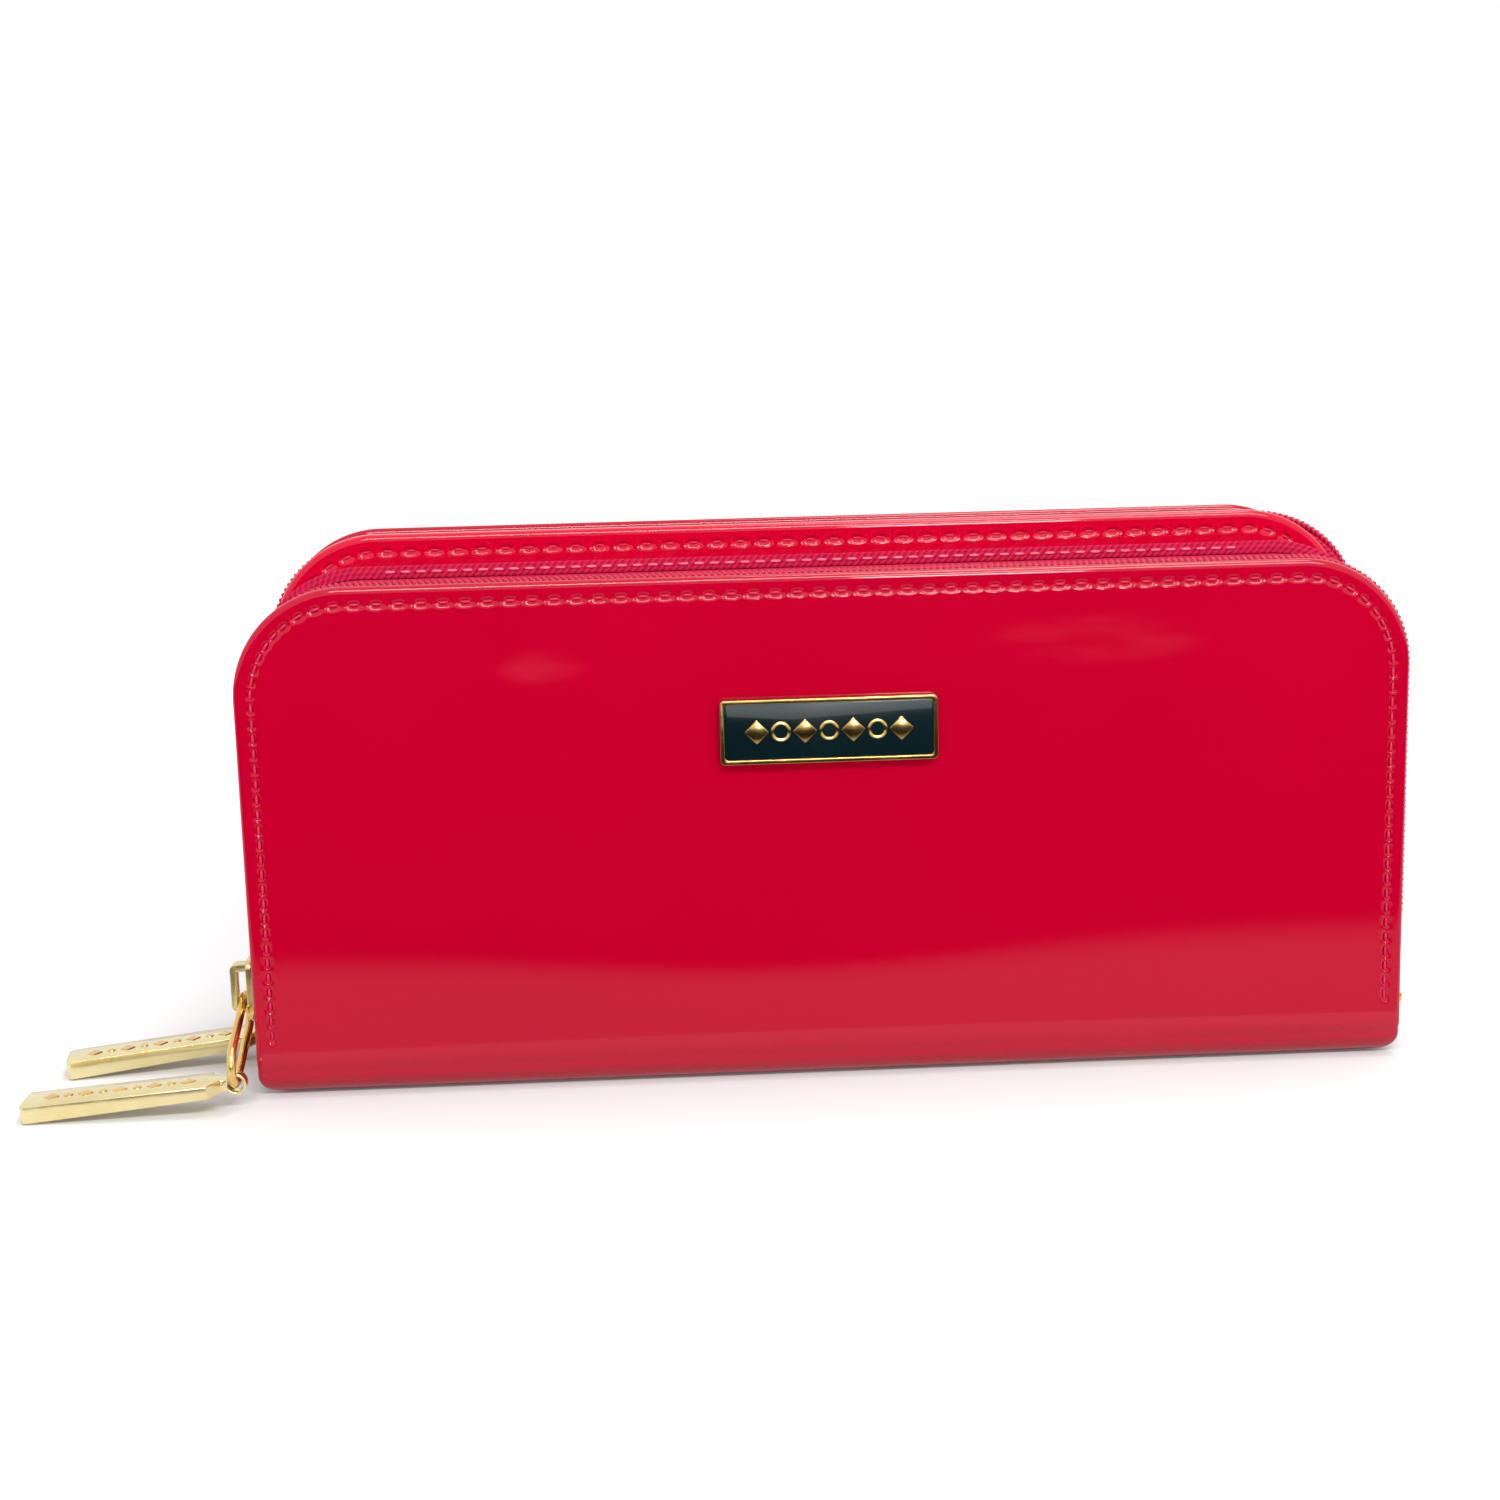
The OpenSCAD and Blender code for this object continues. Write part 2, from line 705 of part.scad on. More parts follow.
front_cover_leather();
front_cover_board();
front_cover_lining();
front_cover_thread();
plaque_frame();
plaque_enamel();
plaque_back_plate();
front_slot_1();
front_slot_2();
front_slot_3();
front_slot_4();
front_zip_cover_tape();
front_zip_cover_coil();
front_zip_cover_stops();
base_leather();
base_board();
base_lining();
front_fold();
rear_fold();
divider_front_leather();
divider_board();
divider_rear_leather();
divider_thread();
divider_tape_thread();
divider_slip_pocket();
front_zip_divider_tape();
front_zip_divider_coil();
front_zip_divider_stops();
rear_zip_divider_tape();
rear_zip_divider_coil();
rear_zip_divider_stops();
front_end_tabs();
rear_end_tabs();
bill_divider();
coin_pocket_front();
coin_pocket_back();
coin_pocket_gusset();
coin_zip_tapes();
coin_zip_coils();
coin_zip_stops();
coin_slider();
coin_pull();
back_cover_leather();
back_cover_board();
back_cover_lining();
back_cover_thread();
rear_slot_1();
rear_slot_2();
rear_slot_3();
rear_zip_cover_tape();
rear_zip_cover_coil();
rear_zip_cover_stops();
front_slider();
front_link();
front_pull_bar();
rear_slider();
rear_link();
rear_pull_bar();
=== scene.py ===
import json
import math

import bpy
import numpy as np
from mathutils import Matrix, Vector

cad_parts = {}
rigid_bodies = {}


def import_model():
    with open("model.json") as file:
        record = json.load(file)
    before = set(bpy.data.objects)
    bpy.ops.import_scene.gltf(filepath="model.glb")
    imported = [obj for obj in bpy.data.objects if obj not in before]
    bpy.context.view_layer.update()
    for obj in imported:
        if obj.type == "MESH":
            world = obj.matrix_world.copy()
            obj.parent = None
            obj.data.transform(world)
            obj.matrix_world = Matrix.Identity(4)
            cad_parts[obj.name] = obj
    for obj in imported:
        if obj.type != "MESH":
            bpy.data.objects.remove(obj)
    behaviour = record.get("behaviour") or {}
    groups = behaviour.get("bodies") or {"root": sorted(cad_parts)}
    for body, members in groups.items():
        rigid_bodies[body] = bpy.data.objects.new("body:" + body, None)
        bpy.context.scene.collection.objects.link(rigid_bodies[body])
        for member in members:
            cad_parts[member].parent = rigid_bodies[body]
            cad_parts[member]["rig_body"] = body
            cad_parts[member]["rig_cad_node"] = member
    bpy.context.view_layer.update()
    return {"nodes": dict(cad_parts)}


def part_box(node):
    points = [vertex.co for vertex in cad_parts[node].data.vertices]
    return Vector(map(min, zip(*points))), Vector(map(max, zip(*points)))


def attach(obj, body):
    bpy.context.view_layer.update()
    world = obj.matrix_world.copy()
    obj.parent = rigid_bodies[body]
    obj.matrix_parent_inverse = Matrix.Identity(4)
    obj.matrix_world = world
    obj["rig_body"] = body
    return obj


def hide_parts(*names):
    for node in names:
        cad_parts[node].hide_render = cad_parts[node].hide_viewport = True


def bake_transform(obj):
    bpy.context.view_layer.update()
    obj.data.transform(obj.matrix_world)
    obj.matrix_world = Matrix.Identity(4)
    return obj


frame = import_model()
MM = 0.001

# ---------------------------------------------------------------- front cover leather
# The front cover's outer leather is one piece of patent leather. It is turned round
# the board at the sides and top, topstitched 3 mm in, and runs on below the board as
# the bare fold that joins the base. The lacquer is glossy and a little wavy.

FOLD_R = 6 * MM  # radius of the fold under a cover
FOLD_ARC = FOLD_R * math.pi / 2
LEATHER_T = 1.1 * MM
TURNED_T = 2.3 * MM  # thickness and width of the edge that is turned round the board
TURNED_W = 1.6 * MM
EDGE_ROUND = 1.0 * MM
CORNER_R = 19 * MM
COVER_FOOT_R = 7 * MM
STITCH_IN = 3.0 * MM
FIRST_STITCH = 5.3 * MM  # above the fold
SIDE_PITCH, TOP_PITCH = 2.6 * MM, 3.7 * MM
PIT_DEPTH = 0.58 * MM
LIP_HEIGHT = 0.16 * MM
BOARD_LINE = 0.30 * MM  # how far the leather dips just below the board
HOLLOW = 0.80 * MM  # how far it sags in, deepest a little above half its height
LEAST_LEATHER = 0.25 * MM
SAMPLE = 0.45 * MM  # between points along an edge
# how far in from the edge each ring of faces ends, in millimetres
RINGS = (0.15, 0.35, 0.6, 0.9, 1.25, 1.55, 1.8, 2.1, 2.35, 2.6, 2.8, 3.0, 3.2, 3.4, 3.7, 4.0, 4.4)
PATENT_RED = (0.340, 0.0, 0.0155, 1)
PATENT_DEEP = (0.304, 0.0, 0.0132, 1)


class Amount:
    """A number that varies over a surface and is worked with like a plain number."""

    def __init__(self, finish, socket):
        self.finish, self.socket = finish, socket

    def sum_of(self, kind, *others):
        return self.finish.node("ShaderNodeMath", {"operation": kind}, self, *others)

    def __add__(self, other):
        return self.sum_of("ADD", other)

    def __mul__(self, other):
        return self.sum_of("MULTIPLY", other)

    def __sub__(self, other):
        return self.sum_of("SUBTRACT", other)

    def __rsub__(self, other):
        return self * -1 + other

    def __pow__(self, other):
        return self.sum_of("POWER", other)

    __radd__ = __add__
    __rmul__ = __mul__

    def above(self, edge, soft):
        """0 below the edge and 1 above it, over a soft step."""
        return self.finish.node(
            "ShaderNodeMapRange", {"interpolation_type": "SMOOTHSTEP"},
            self, edge - soft, edge + soft, 0.0, 1.0)

    def part(self, name):
        return Amount(self.finish, self.socket.node.outputs[name])


class Finish:
    """One procedural material: a Principled shader and the nodes that feed it."""

    def __init__(self, name, **fixed):
        self.material = bpy.data.materials.new(name)
        self.material.use_nodes = True
        self.nodes = self.material.node_tree.nodes
        self.links = self.material.node_tree.links
        self.shader = self.nodes["Principled BSDF"]
        for socket, value in fixed.items():
            self.shader.inputs[socket.replace("_", " ")].default_value = value
        self.where = self.node("ShaderNodeTexCoord", {}).part("Object")

    def node(self, kind, settings, *values, **named):
        made = self.nodes.new(kind)
        for key, value in settings.items():
            setattr(made, key, value)
        for key, value in list(enumerate(values)) + list(named.items()):
            socket = made.inputs[key.replace("_", " ") if isinstance(key, str) else key]
            if isinstance(value, Amount):
                self.links.new(value.socket, socket)
            else:
                socket.default_value = value
        return Amount(self, next(o for o in made.outputs if o.enabled))

    def noise(self, scale, detail=2.0, spread=(1, 1, 1)):
        place = self.node("ShaderNodeMapping", {}, self.where, Scale=spread)
        return self.node("ShaderNodeTexNoise", {}, Vector=place, Scale=scale, Detail=detail)

    def between(self, amount, low, high):
        """Colour that goes from low to high with the amount."""
        mix = self.node("ShaderNodeMix", {"data_type": "RGBA"})
        mix_node = mix.socket.node
        self.links.new(amount.socket, mix_node.inputs["Factor"])
        for key, value in (("A", low), ("B", high)):
            socket = next(s for s in mix_node.inputs if s.name == key and s.type == "RGBA")
            if isinstance(value, Amount):
                self.links.new(value.socket, socket)
            else:
                socket.default_value = value
        return Amount(self, next(o for o in mix_node.outputs if o.type == "RGBA"))

    def raised(self, height, depth, over=None):
        """Bump of this depth in metres, on top of another where one is given."""
        extra = {"Normal": over} if over else {}
        return self.node("ShaderNodeBump", {}, Strength=1.0, Distance=depth, Height=height, **extra)

    def give(self, **sockets):
        for name, value in sockets.items():
            self.links.new(value.socket, self.shader.inputs[name.replace("_", " ")])
        return self.material


def patent_leather(name, deep, red, rubs=()):
    """Lacquered leather. A rub is a dulled patch: its centre in x and z, and its half
    width and half height."""
    f = Finish(name, Coat_Weight=1.0, Coat_Roughness=0.045, Coat_IOR=1.42,
               Specular_IOR_Level=0.0)
    clouds = f.noise(22, 3.0)
    wave = f.noise(28, 1.0, (1, 1, 1.4))
    peel = f.noise(420, 2.0)
    colour = f.between(clouds, deep, red)
    rough = clouds * 0.10 + 0.30
    if rubs:
        place = f.node("ShaderNodeSeparateXYZ", {}, f.where)
        streaks = f.noise(190, 2.0, (0.3, 1, 1.2)).above(0.52, 0.20)
    for x0, z0, wide, tall in rubs:
        across = (place.part("X") - x0) * (1 / wide)
        upward = (place.part("Z") - z0) * (1 / tall)
        patch = 1 - (across * across + upward * upward).above(0.5, 0.5)
        rub = patch * streaks
        colour = f.between(rub * 0.035, colour, (0.85, 0.16, 0.22, 1))
        rough = rough + rub * 0.08
    f.give(Base_Color=colour, Roughness=rough,
           Normal=f.raised(peel, 0.000012, f.raised(wave, 0.00040)))
    return f.material


PATENT = patent_leather("patent_leather", PATENT_DEEP, PATENT_RED)
FRONT_PATENT = patent_leather(
    "rubbed_patent_leather", PATENT_DEEP, PATENT_RED,
    ((-48 * MM, 74 * MM, 9 * MM, 3.5 * MM), (46 * MM, 76 * MM, 22 * MM, 5 * MM)))


def fresh_start():
    if bpy.context.object and bpy.context.object.mode != "OBJECT":
        bpy.ops.object.mode_set(mode="OBJECT")
    bpy.ops.object.select_all(action="DESELECT")


def only(piece):
    fresh_start()
    piece.select_set(True)
    bpy.context.view_layer.objects.active = piece


def points_of(piece):
    co = np.empty(len(piece.data.vertices) * 3)
    piece.data.vertices.foreach_get("co", co)
    return co.reshape(-1, 3)


def set_points(piece, co):
    piece.data.vertices.foreach_set("co", np.asarray(co, float).ravel())
    piece.data.update()


def dress(piece, material, angle=40):
    piece.data.materials.clear()
    piece.data.materials.append(material)
    only(piece)
    bpy.ops.object.shade_smooth_by_angle(angle=math.radians(angle))
    return piece


def cut_panel(name, half_w, high, top_r, foot_r, fine_rows):
    """Cuts the flat pattern in the plane y = 0 with its foot at z = 0, with rings of
    faces along the edge for the turned edge and the stitches."""
    fresh_start()
    bpy.ops.mesh.primitive_plane_add(size=2, location=(0, 0, high / 2),
                                     rotation=(math.pi / 2, 0, 0))
    piece = bpy.context.object
    piece.name = piece.data.name = name
    piece.scale = (half_w, high / 2, 1)
    bpy.ops.object.transform_apply(location=True, rotation=True, scale=True)
    for at_top, radius in ((True, top_r), (False, foot_r)):
        bpy.ops.object.mode_set(mode="EDIT")
        bpy.ops.mesh.select_mode(type="VERT")
        bpy.ops.mesh.select_all(action="DESELECT")
        bpy.ops.object.mode_set(mode="OBJECT")
        for v in piece.data.vertices:
            corner = abs(abs(v.co.x) - half_w) < 1e-6
            v.select = corner and abs(v.co.z - (high if at_top else 0)) < 1e-6
        bpy.ops.object.mode_set(mode="EDIT")
        bpy.ops.mesh.bevel(affect="VERTICES", offset=radius, profile=0.5,
                           segments=round(radius * math.pi / 2 / SAMPLE))
        bpy.ops.object.mode_set(mode="OBJECT")
    lengths = sorted({round((piece.data.vertices[e.vertices[0]].co
                             - piece.data.vertices[e.vertices[1]].co).length, 5)
                      for e in piece.data.edges})
    for length in [l for l in lengths if l > 4 * SAMPLE]:
        bpy.ops.object.mode_set(mode="EDIT")
        bpy.ops.mesh.select_mode(type="EDGE")
        bpy.ops.mesh.select_all(action="DESELECT")
        bpy.ops.object.mode_set(mode="OBJECT")
        for e in piece.data.edges:
            a, b = (piece.data.vertices[i].co for i in e.vertices)
            e.select = abs((a - b).length - length) < 2e-5
        bpy.ops.object.mode_set(mode="EDIT")
        # one call makes at most 100 cuts, so a long edge is quartered first
        bpy.ops.mesh.subdivide(number_cuts=3)
        bpy.ops.mesh.subdivide(number_cuts=max(1, round(length / 4 / SAMPLE) - 1))
        bpy.ops.object.mode_set(mode="OBJECT")
    bpy.ops.object.mode_set(mode="EDIT")
    bpy.ops.mesh.select_mode(type="FACE")
    bpy.ops.mesh.select_all(action="SELECT")
    done = 0
    for ring in RINGS:
        bpy.ops.mesh.inset(thickness=(ring - done) * MM, depth=0)
        done = ring
    bpy.ops.mesh.hide(unselected=True)
    rows = list(fine_rows) + list(np.arange(15 * MM, high - 5 * MM, 5 * MM))
    cuts = [((x, 0, 0), (1, 0, 0)) for x in np.arange(-half_w + 7 * MM, half_w - 6 * MM, 5 * MM)]
    cuts += [((0, 0, z), (0, 0, 1)) for z in rows]
    for place, facing in cuts:
        bpy.ops.mesh.select_all(action="SELECT")
        bpy.ops.mesh.bisect(plane_co=place, plane_no=facing)
    bpy.ops.mesh.reveal(select=False)
    bpy.ops.object.mode_set(mode="OBJECT")
    return piece


def edge_place(x, v, half_w, high, top_r, foot_r):
    """How far along the edge from the left foot, how far in from it, and how much of
    the turned edge there is (none along the foot, where the leather runs on)."""
    side = high - top_r
    across = 2 * (half_w - top_r)
    quarter = top_r * math.pi / 2
    ax = np.abs(x)
    cx, cv = ax - (half_w - top_r), v - side
    in_top = (cx > 0) & (cv > 0)
    fx, fv = ax - (half_w - foot_r), foot_r - v
    in_foot = (fx > 0) & (fv > 0)
    d = np.minimum(half_w - ax, high - v)
    d = np.where(in_top, top_r - np.hypot(cx, cv), d)
    d = np.where(in_foot, foot_r - np.hypot(fx, fv), d)
    on_top = ~in_top & (high - v < half_w - ax)
    s = v.copy()
    s = np.where(in_top, side + top_r * np.arctan2(cv, np.maximum(cx, 1e-9)), s)
    s = np.where(on_top, side + quarter + (half_w - top_r - ax), s)
    total = 2 * (side + quarter) + across
    s = np.where(x > 0, total - s, s)
    turn = np.where(in_foot, np.clip(fx / np.maximum(np.hypot(fx, fv), 1e-9), 0, 1), 1)
    return s, np.maximum(d, 0), turn


def stitch_places(half_w, high, top_r, foot, side_pitch, top_pitch):
    """Where each stitch of a row lies along the edge, from the left foot over the top
    to the right foot. Stitches are longer along the top."""
    side, quarter = high - top_r, top_r * math.pi / 2
    across = 2 * (half_w - top_r)
    total = 2 * (side + quarter) + across
    places, s = [], foot
    while s < total - foot:
        places.append(s)
        along_top = side + quarter * 0.5 < s < total - side - quarter * 0.5
        s += top_pitch if along_top else side_pitch
    return np.array(places)


def edge_point(s, d, half_w, high, top_r):
    """The pattern point (x, v) a distance s along the edge and d in from it."""
    side, quarter = high - top_r, top_r * math.pi / 2
    total = 2 * (side + quarter) + 2 * (half_w - top_r)
    flip = s > total / 2
    s = total - s if flip else s
    if s < side:
        x, v, turn = -half_w + d, s, math.pi / 2
    elif s < side + quarter:
        a = (s - side) / top_r
        x = -(half_w - top_r) - (top_r - d) * math.cos(a)
        v = side + (top_r - d) * math.sin(a)
        turn = math.pi / 2 - a
    else:
        x, v, turn = -(half_w - top_r) + (s - side - quarter), high - d, 0
    return (-x, v, -turn) if flip else (x, v, turn)


def stitch_dip(s, d, places, pit_depth, crest=1.0):
    """How deep each stitch pulls the leather in, with the lip that rises below it."""
    if len(places) == 0:
        return np.zeros_like(s)
    k = np.clip(np.searchsorted(places, s), 1, len(places) - 1)
    along = np.minimum(s - places[k - 1], places[k] - s)
    across = d - STITCH_IN
    pit = np.exp(-(along / (1.05 * MM)) ** 4 - (across / (0.52 * MM)) ** 2)
    lip = np.exp(-(along / (1.25 * MM)) ** 2 - ((across - 1.05 * MM) / (0.42 * MM)) ** 2)
    in_row = (s > places[0] - 2 * MM) & (s < places[-1] + 2 * MM)
    return np.where(in_row, pit_depth * pit - LIP_HEIGHT * crest * lip, 0)


def turned_edge(d, turn):
    """Depth of the rounded edge, which rolls over to the side."""
    r = EDGE_ROUND
    inward = np.clip(r - d, 0, r)
    roll = r - np.sqrt(np.maximum(r * r - inward ** 2, 0))
    return roll * turn


def solid_from(piece, thickness):
    """Gives a pattern its second side; the first half of the points is the outside."""
    only(piece)
    wall = piece.modifiers.new("wall", "SOLIDIFY")
    wall.thickness, wall.offset, wall.use_even_offset = thickness, -1, False
    bpy.ops.object.modifier_apply(modifier=wall.name)


def cover_shell(name, width, top_z, y_face, side, crown, material):
    """A cover's leather with the fold below it. side is -1 at the front and 1 at the
    back, and crown is how much its middle swells over the board."""
    half_w, high = width / 2, FOLD_ARC + top_z - FOLD_R
    fine = np.arange(5, 14.5, 0.6) * MM
    piece = cut_panel(name, half_w, high, CORNER_R, COVER_FOOT_R, fine)
    flat = points_of(piece)
    solid_from(piece, LEATHER_T)
    x, v = flat[:, 0], flat[:, 2]
    above = v - FOLD_ARC
    s, d, turn = edge_place(x, v, half_w, high, CORNER_R, COVER_FOOT_R)
    stitches = stitch_places(half_w, high, CORNER_R, FOLD_ARC + FIRST_STITCH,
                             SIDE_PITCH, TOP_PITCH)
    crest = np.clip((v - high + 16 * MM) / (9 * MM), 0.1, 1)
    dip = stitch_dip(s, d, stitches, PIT_DEPTH, crest) * np.clip(above / (5 * MM), 0, 1)
    line = BOARD_LINE * np.exp(-((above + 1.2 * MM) / (0.9 * MM)) ** 2)
    swell = (np.clip(1 - (x / half_w) ** 2, 0, 1)
             * np.clip(1 - ((v - 0.55 * high) / (0.6 * high)) ** 2, 0, 1))
    fall = crown * (1 - swell) * np.clip(above / (12 * MM), 0, 1)
    rise = np.clip((above - 4 * MM) / (34 * MM), 0, 1)
    sag = (HOLLOW * np.exp(-((x + 8 * MM) / (48 * MM)) ** 2) * rise * rise * (3 - 2 * rise)
           * (1 - np.clip((v - 62 * MM) / (26 * MM), 0, 1)))
    outside = turned_edge(d, turn) + dip + line + fall + sag
    turned = (above > 0.3 * MM) & ((d < TURNED_W) | (above < 1.9 * MM))
    inside = np.where(turned, TURNED_T, LEATHER_T) - turned_edge(d, turn)
    inside = np.maximum(inside, outside + LEAST_LEATHER)
    both = []
    for depth in (outside, inside):
        a = np.clip(v / FOLD_R, 0, math.pi / 2)
        reach = FOLD_R - depth
        y_fold = abs(y_face) - FOLD_R
        y = y_fold + reach * np.sin(a)
        z = FOLD_R - reach * np.cos(a) + np.maximum(v - FOLD_ARC, 0)
        both.append(np.stack([x, side * y, z], axis=1))
    set_points(piece, np.concatenate(both))
    if side > 0:
        only(piece)
        bpy.ops.object.mode_set(mode="EDIT")
        bpy.ops.mesh.select_all(action="SELECT")
        bpy.ops.mesh.flip_normals()
        bpy.ops.object.mode_set(mode="OBJECT")
    dress(piece, material, 60)
    return piece, stitches, (half_w, high, CORNER_R)


face_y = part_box("front_cover_leather")[0].y
front_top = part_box("front_cover_leather")[1].z
front_leather, front_stitches, front_edge = cover_shell(
    "front_leather", 200 * MM, front_top, face_y, -1, 0.25 * MM, FRONT_PATENT)
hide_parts("front_cover_leather", "front_fold")
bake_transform(front_leather)

# ---------------------------------------------------------------- topstitch thread
# Waxed red thread, sewn through leather and board. Each stitch lies in the dip that
# it pulls, and rows are one piece each.

THREAD_R = 0.26 * MM
SHORT_STITCH, LONG_STITCH = 1.9 * MM, 2.2 * MM
COVER_THREAD_DIP = 0.52 * MM  # how deep the thread lies in its pits


def waxed_thread(name, deep, pale):
    f = Finish(name, Roughness=0.5, Specular_IOR_Level=0.25)
    strand = f.noise(2400, 1.0, (0.5, 1, 0.5))
    f.give(Base_Color=f.between(strand, deep, pale), Normal=f.raised(strand, 0.00008))
    return f.material


THREAD = waxed_thread("waxed_thread", (0.36, 0.0, 0.026, 1), (0.56, 0.02, 0.08, 1))
PALE_THREAD = waxed_thread("pale_thread", (0.60, 0.06, 0.12, 1), (0.86, 0.22, 0.30, 1))


def one_stitch(length, radius):
    """A rounded bit of thread, thinner where it goes down at both ends."""
    fresh_start()
    bpy.ops.mesh.primitive_uv_sphere_add(segments=8, ring_count=8, radius=1,
                                         rotation=(0, math.pi / 2, 0))
    stitch = bpy.context.object
    bpy.ops.object.transform_apply(rotation=True)
    co = points_of(stitch)
    belly = np.sign(co[:, 0]) * np.abs(co[:, 0]) ** 0.8
    sag = (np.abs(co[:, 0]) ** 3) * radius * 0.9
    set_points(stitch, np.stack(
        [belly * length / 2, co[:, 1] * radius + sag, co[:, 2] * radius], 1))
    return stitch


def sew(name, places, stitch, material, body, *nodes):
    """Copies one stitch to each place and joins the row into one piece. A place is a
    matrix that takes the stitch from the origin to where it is sewn."""
    row = []
    for place in places:
        copy = stitch.copy()
        copy.data = stitch.data.copy()
        copy.data.transform(place)
        bpy.context.scene.collection.objects.link(copy)
        row.append(copy)
    fresh_start()
    for copy in row:
        copy.select_set(True)
    bpy.context.view_layer.objects.active = row[0]
    bpy.ops.object.join()
    piece = bpy.context.object
    piece.name = piece.data.name = name
    dress(piece, material, 60)
    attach(piece, body)
    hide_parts(*nodes)
    return piece


def edge_row(stitches, edge, y, side, foot_z, pattern_foot, dip):
    """Places along a panel's edge; side is -1 where the face looks to the front."""
    out = []
    for s in stitches:
        x, v, turn = edge_point(s, STITCH_IN, *edge)
        z = foot_z + v - pattern_foot
        place = Matrix.Translation((x, y - side * dip, z)) @ Matrix.Rotation(-turn, 4, "Y")
        if side > 0:
            place = place @ Matrix.Rotation(math.pi, 4, "Z")
        out.append(place)
    return out


short_stitch = one_stitch(SHORT_STITCH, THREAD_R)
sew("front_topstitch",
    edge_row(front_stitches, front_edge, face_y, -1, FOLD_R, FOLD_ARC, COVER_THREAD_DIP),
    short_stitch, THREAD, "front_cover", "front_cover_thread")

# ---------------------------------------------------------------- back cover leather
# The back cover is made like the front one, a little narrower and taller, and it has
# no plaque.

back_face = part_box("back_cover_leather")[1].y
back_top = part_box("back_cover_leather")[1].z
back_leather, back_stitches, back_edge = cover_shell(
    "back_leather", 197 * MM, back_top, back_face, 1, 0.35 * MM, PATENT)
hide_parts("back_cover_leather", "rear_fold")
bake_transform(back_leather)
sew("back_topstitch",
    edge_row(back_stitches, back_edge, back_face, 1, FOLD_R, FOLD_ARC, COVER_THREAD_DIP),
    short_stitch, THREAD, "back_cover", "back_cover_thread")

# ---------------------------------------------------------------- divider
# A stiff board between the two compartments, covered on both sides in patent leather
# and topstitched along its top edge. It stands on the base. Its red is painted lighter
# than the covers': painted light for the floor's bounce, which the front cover keeps from it.

DIVIDER_FOOT_R = 5 * MM
DIVIDER_PIT = 0.55 * MM
DIVIDER_THREAD_DIP = 0.50 * MM
ROW_DROP = 12 * MM  # the row's ends are this far below the top; the sides are bare
DIVIDER_PITCHES = (4.0 * MM, 4.2 * MM)  # round the corners and along the top
div_low, div_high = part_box("divider_front_leather")
div_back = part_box("divider_rear_leather")[1].y
div_front, div_foot = div_low.y, div_low.z
div_half, div_h = (div_high.x - div_low.x) / 2, div_high.z - div_foot
div_edge = (div_half, div_h, CORNER_R)
divider = cut_panel("divider_leather", *div_edge, DIVIDER_FOOT_R, ())
flat = points_of(divider)
solid_from(divider, div_back - div_front)
x, v = flat[:, 0], flat[:, 2]
s, d, turn = edge_place(x, v, *div_edge, DIVIDER_FOOT_R)
div_stitches = stitch_places(*div_edge, div_h - ROW_DROP, *DIVIDER_PITCHES)
roll = turned_edge(d, turn)
dip = stitch_dip(s, d, div_stitches, DIVIDER_PIT)
outer = np.stack([x, div_front + roll + dip, div_foot + v], 1)
inner = np.stack([x, div_back - roll, div_foot + v], 1)
set_points(divider, np.concatenate([outer, inner]))
# The divider's leather is painted a lighter red: painted light for the floor bounce that it doesn't
# get.
DIVIDER_PATENT = patent_leather(
    "patent_leather_with_painted_light", (0.42, 0.0, 0.018, 1), (0.47, 0.0, 0.021, 1))
dress(divider, DIVIDER_PATENT, 60)
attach(divider, "root")
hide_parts("divider_front_leather", "divider_rear_leather", "divider_board")
long_stitch = one_stitch(LONG_STITCH, THREAD_R)
sew("divider_topstitch",
    edge_row(div_stitches, div_edge, div_front, -1, div_foot, 0, DIVIDER_THREAD_DIP),
    long_stitch, THREAD, "root", "divider_thread")

# ---------------------------------------------------------------- zip tapes
# Woven polyester tape, dyed to the leather. Each half runs round an arch: a wall goes
# from the coil back to its panel, and a flange is glued down along the panel.

TAPE_RED = (0.24, 0.0, 0.016, 1)
TAPE_LIGHT = (0.58, 0.012, 0.075, 1)
ZIP_CORNER = 19.5 * MM
COIL_H = 1.6 * MM
COIL_W = 1.8 * MM
COIL_GAP = 0.4 * MM
TAPE_MID = 1.95 * MM  # from the top of the coils to the middle of the tape
TAPE_T = 0.6 * MM
FLANGE_END = 9.9 * MM
ZIP_FOOT = 8 * MM


def woven_tape():
    f = Finish("woven_tape", Roughness=0.72, Specular_IOR_Level=0.15)
    uv = f.node("ShaderNodeTexCoord", {}).part("UV")
    parts = f.node("ShaderNodeSeparateXYZ", {}, uv)
    along, across = parts.part("X"), parts.part("Y")
    rib = ((along * 1.0 + across * 0.8) * 5200.0).sum_of("SINE") * 0.5 + 0.5
    warp = (across * 7600.0).sum_of("SINE") * 0.5 + 0.5
    weave = rib * 0.75 + warp * 0.25
    dye = f.noise(180, 2.0)
    f.give(Base_Color=f.between(weave * 0.7 + dye * 0.3, TAPE_RED, TAPE_LIGHT),
           Normal=f.raised(weave, 0.00022))
    return f.material


TAPE = woven_tape()


def zip_arch(left, right, top, foot):
    """Returns a function from a place along the arch and a depth below it to x and z."""
    side, quarter = top - ZIP_CORNER - foot, ZIP_CORNER * math.pi / 2
    across = right - left - 2 * ZIP_CORNER
    total = 2 * (side + quarter) + across

    def at(s, depth):
        flip = s > total / 2
        t = np.where(flip, total - s, s)
        a = np.clip((t - side) / ZIP_CORNER, 0, math.pi / 2)
        r = ZIP_CORNER - depth
        px = ZIP_CORNER - r * np.cos(a) + np.maximum(t - side - quarter, 0)
        pz = foot + np.minimum(t, side) + r * np.sin(a)
        return np.where(flip, right - px, left + px), pz

    return at, total


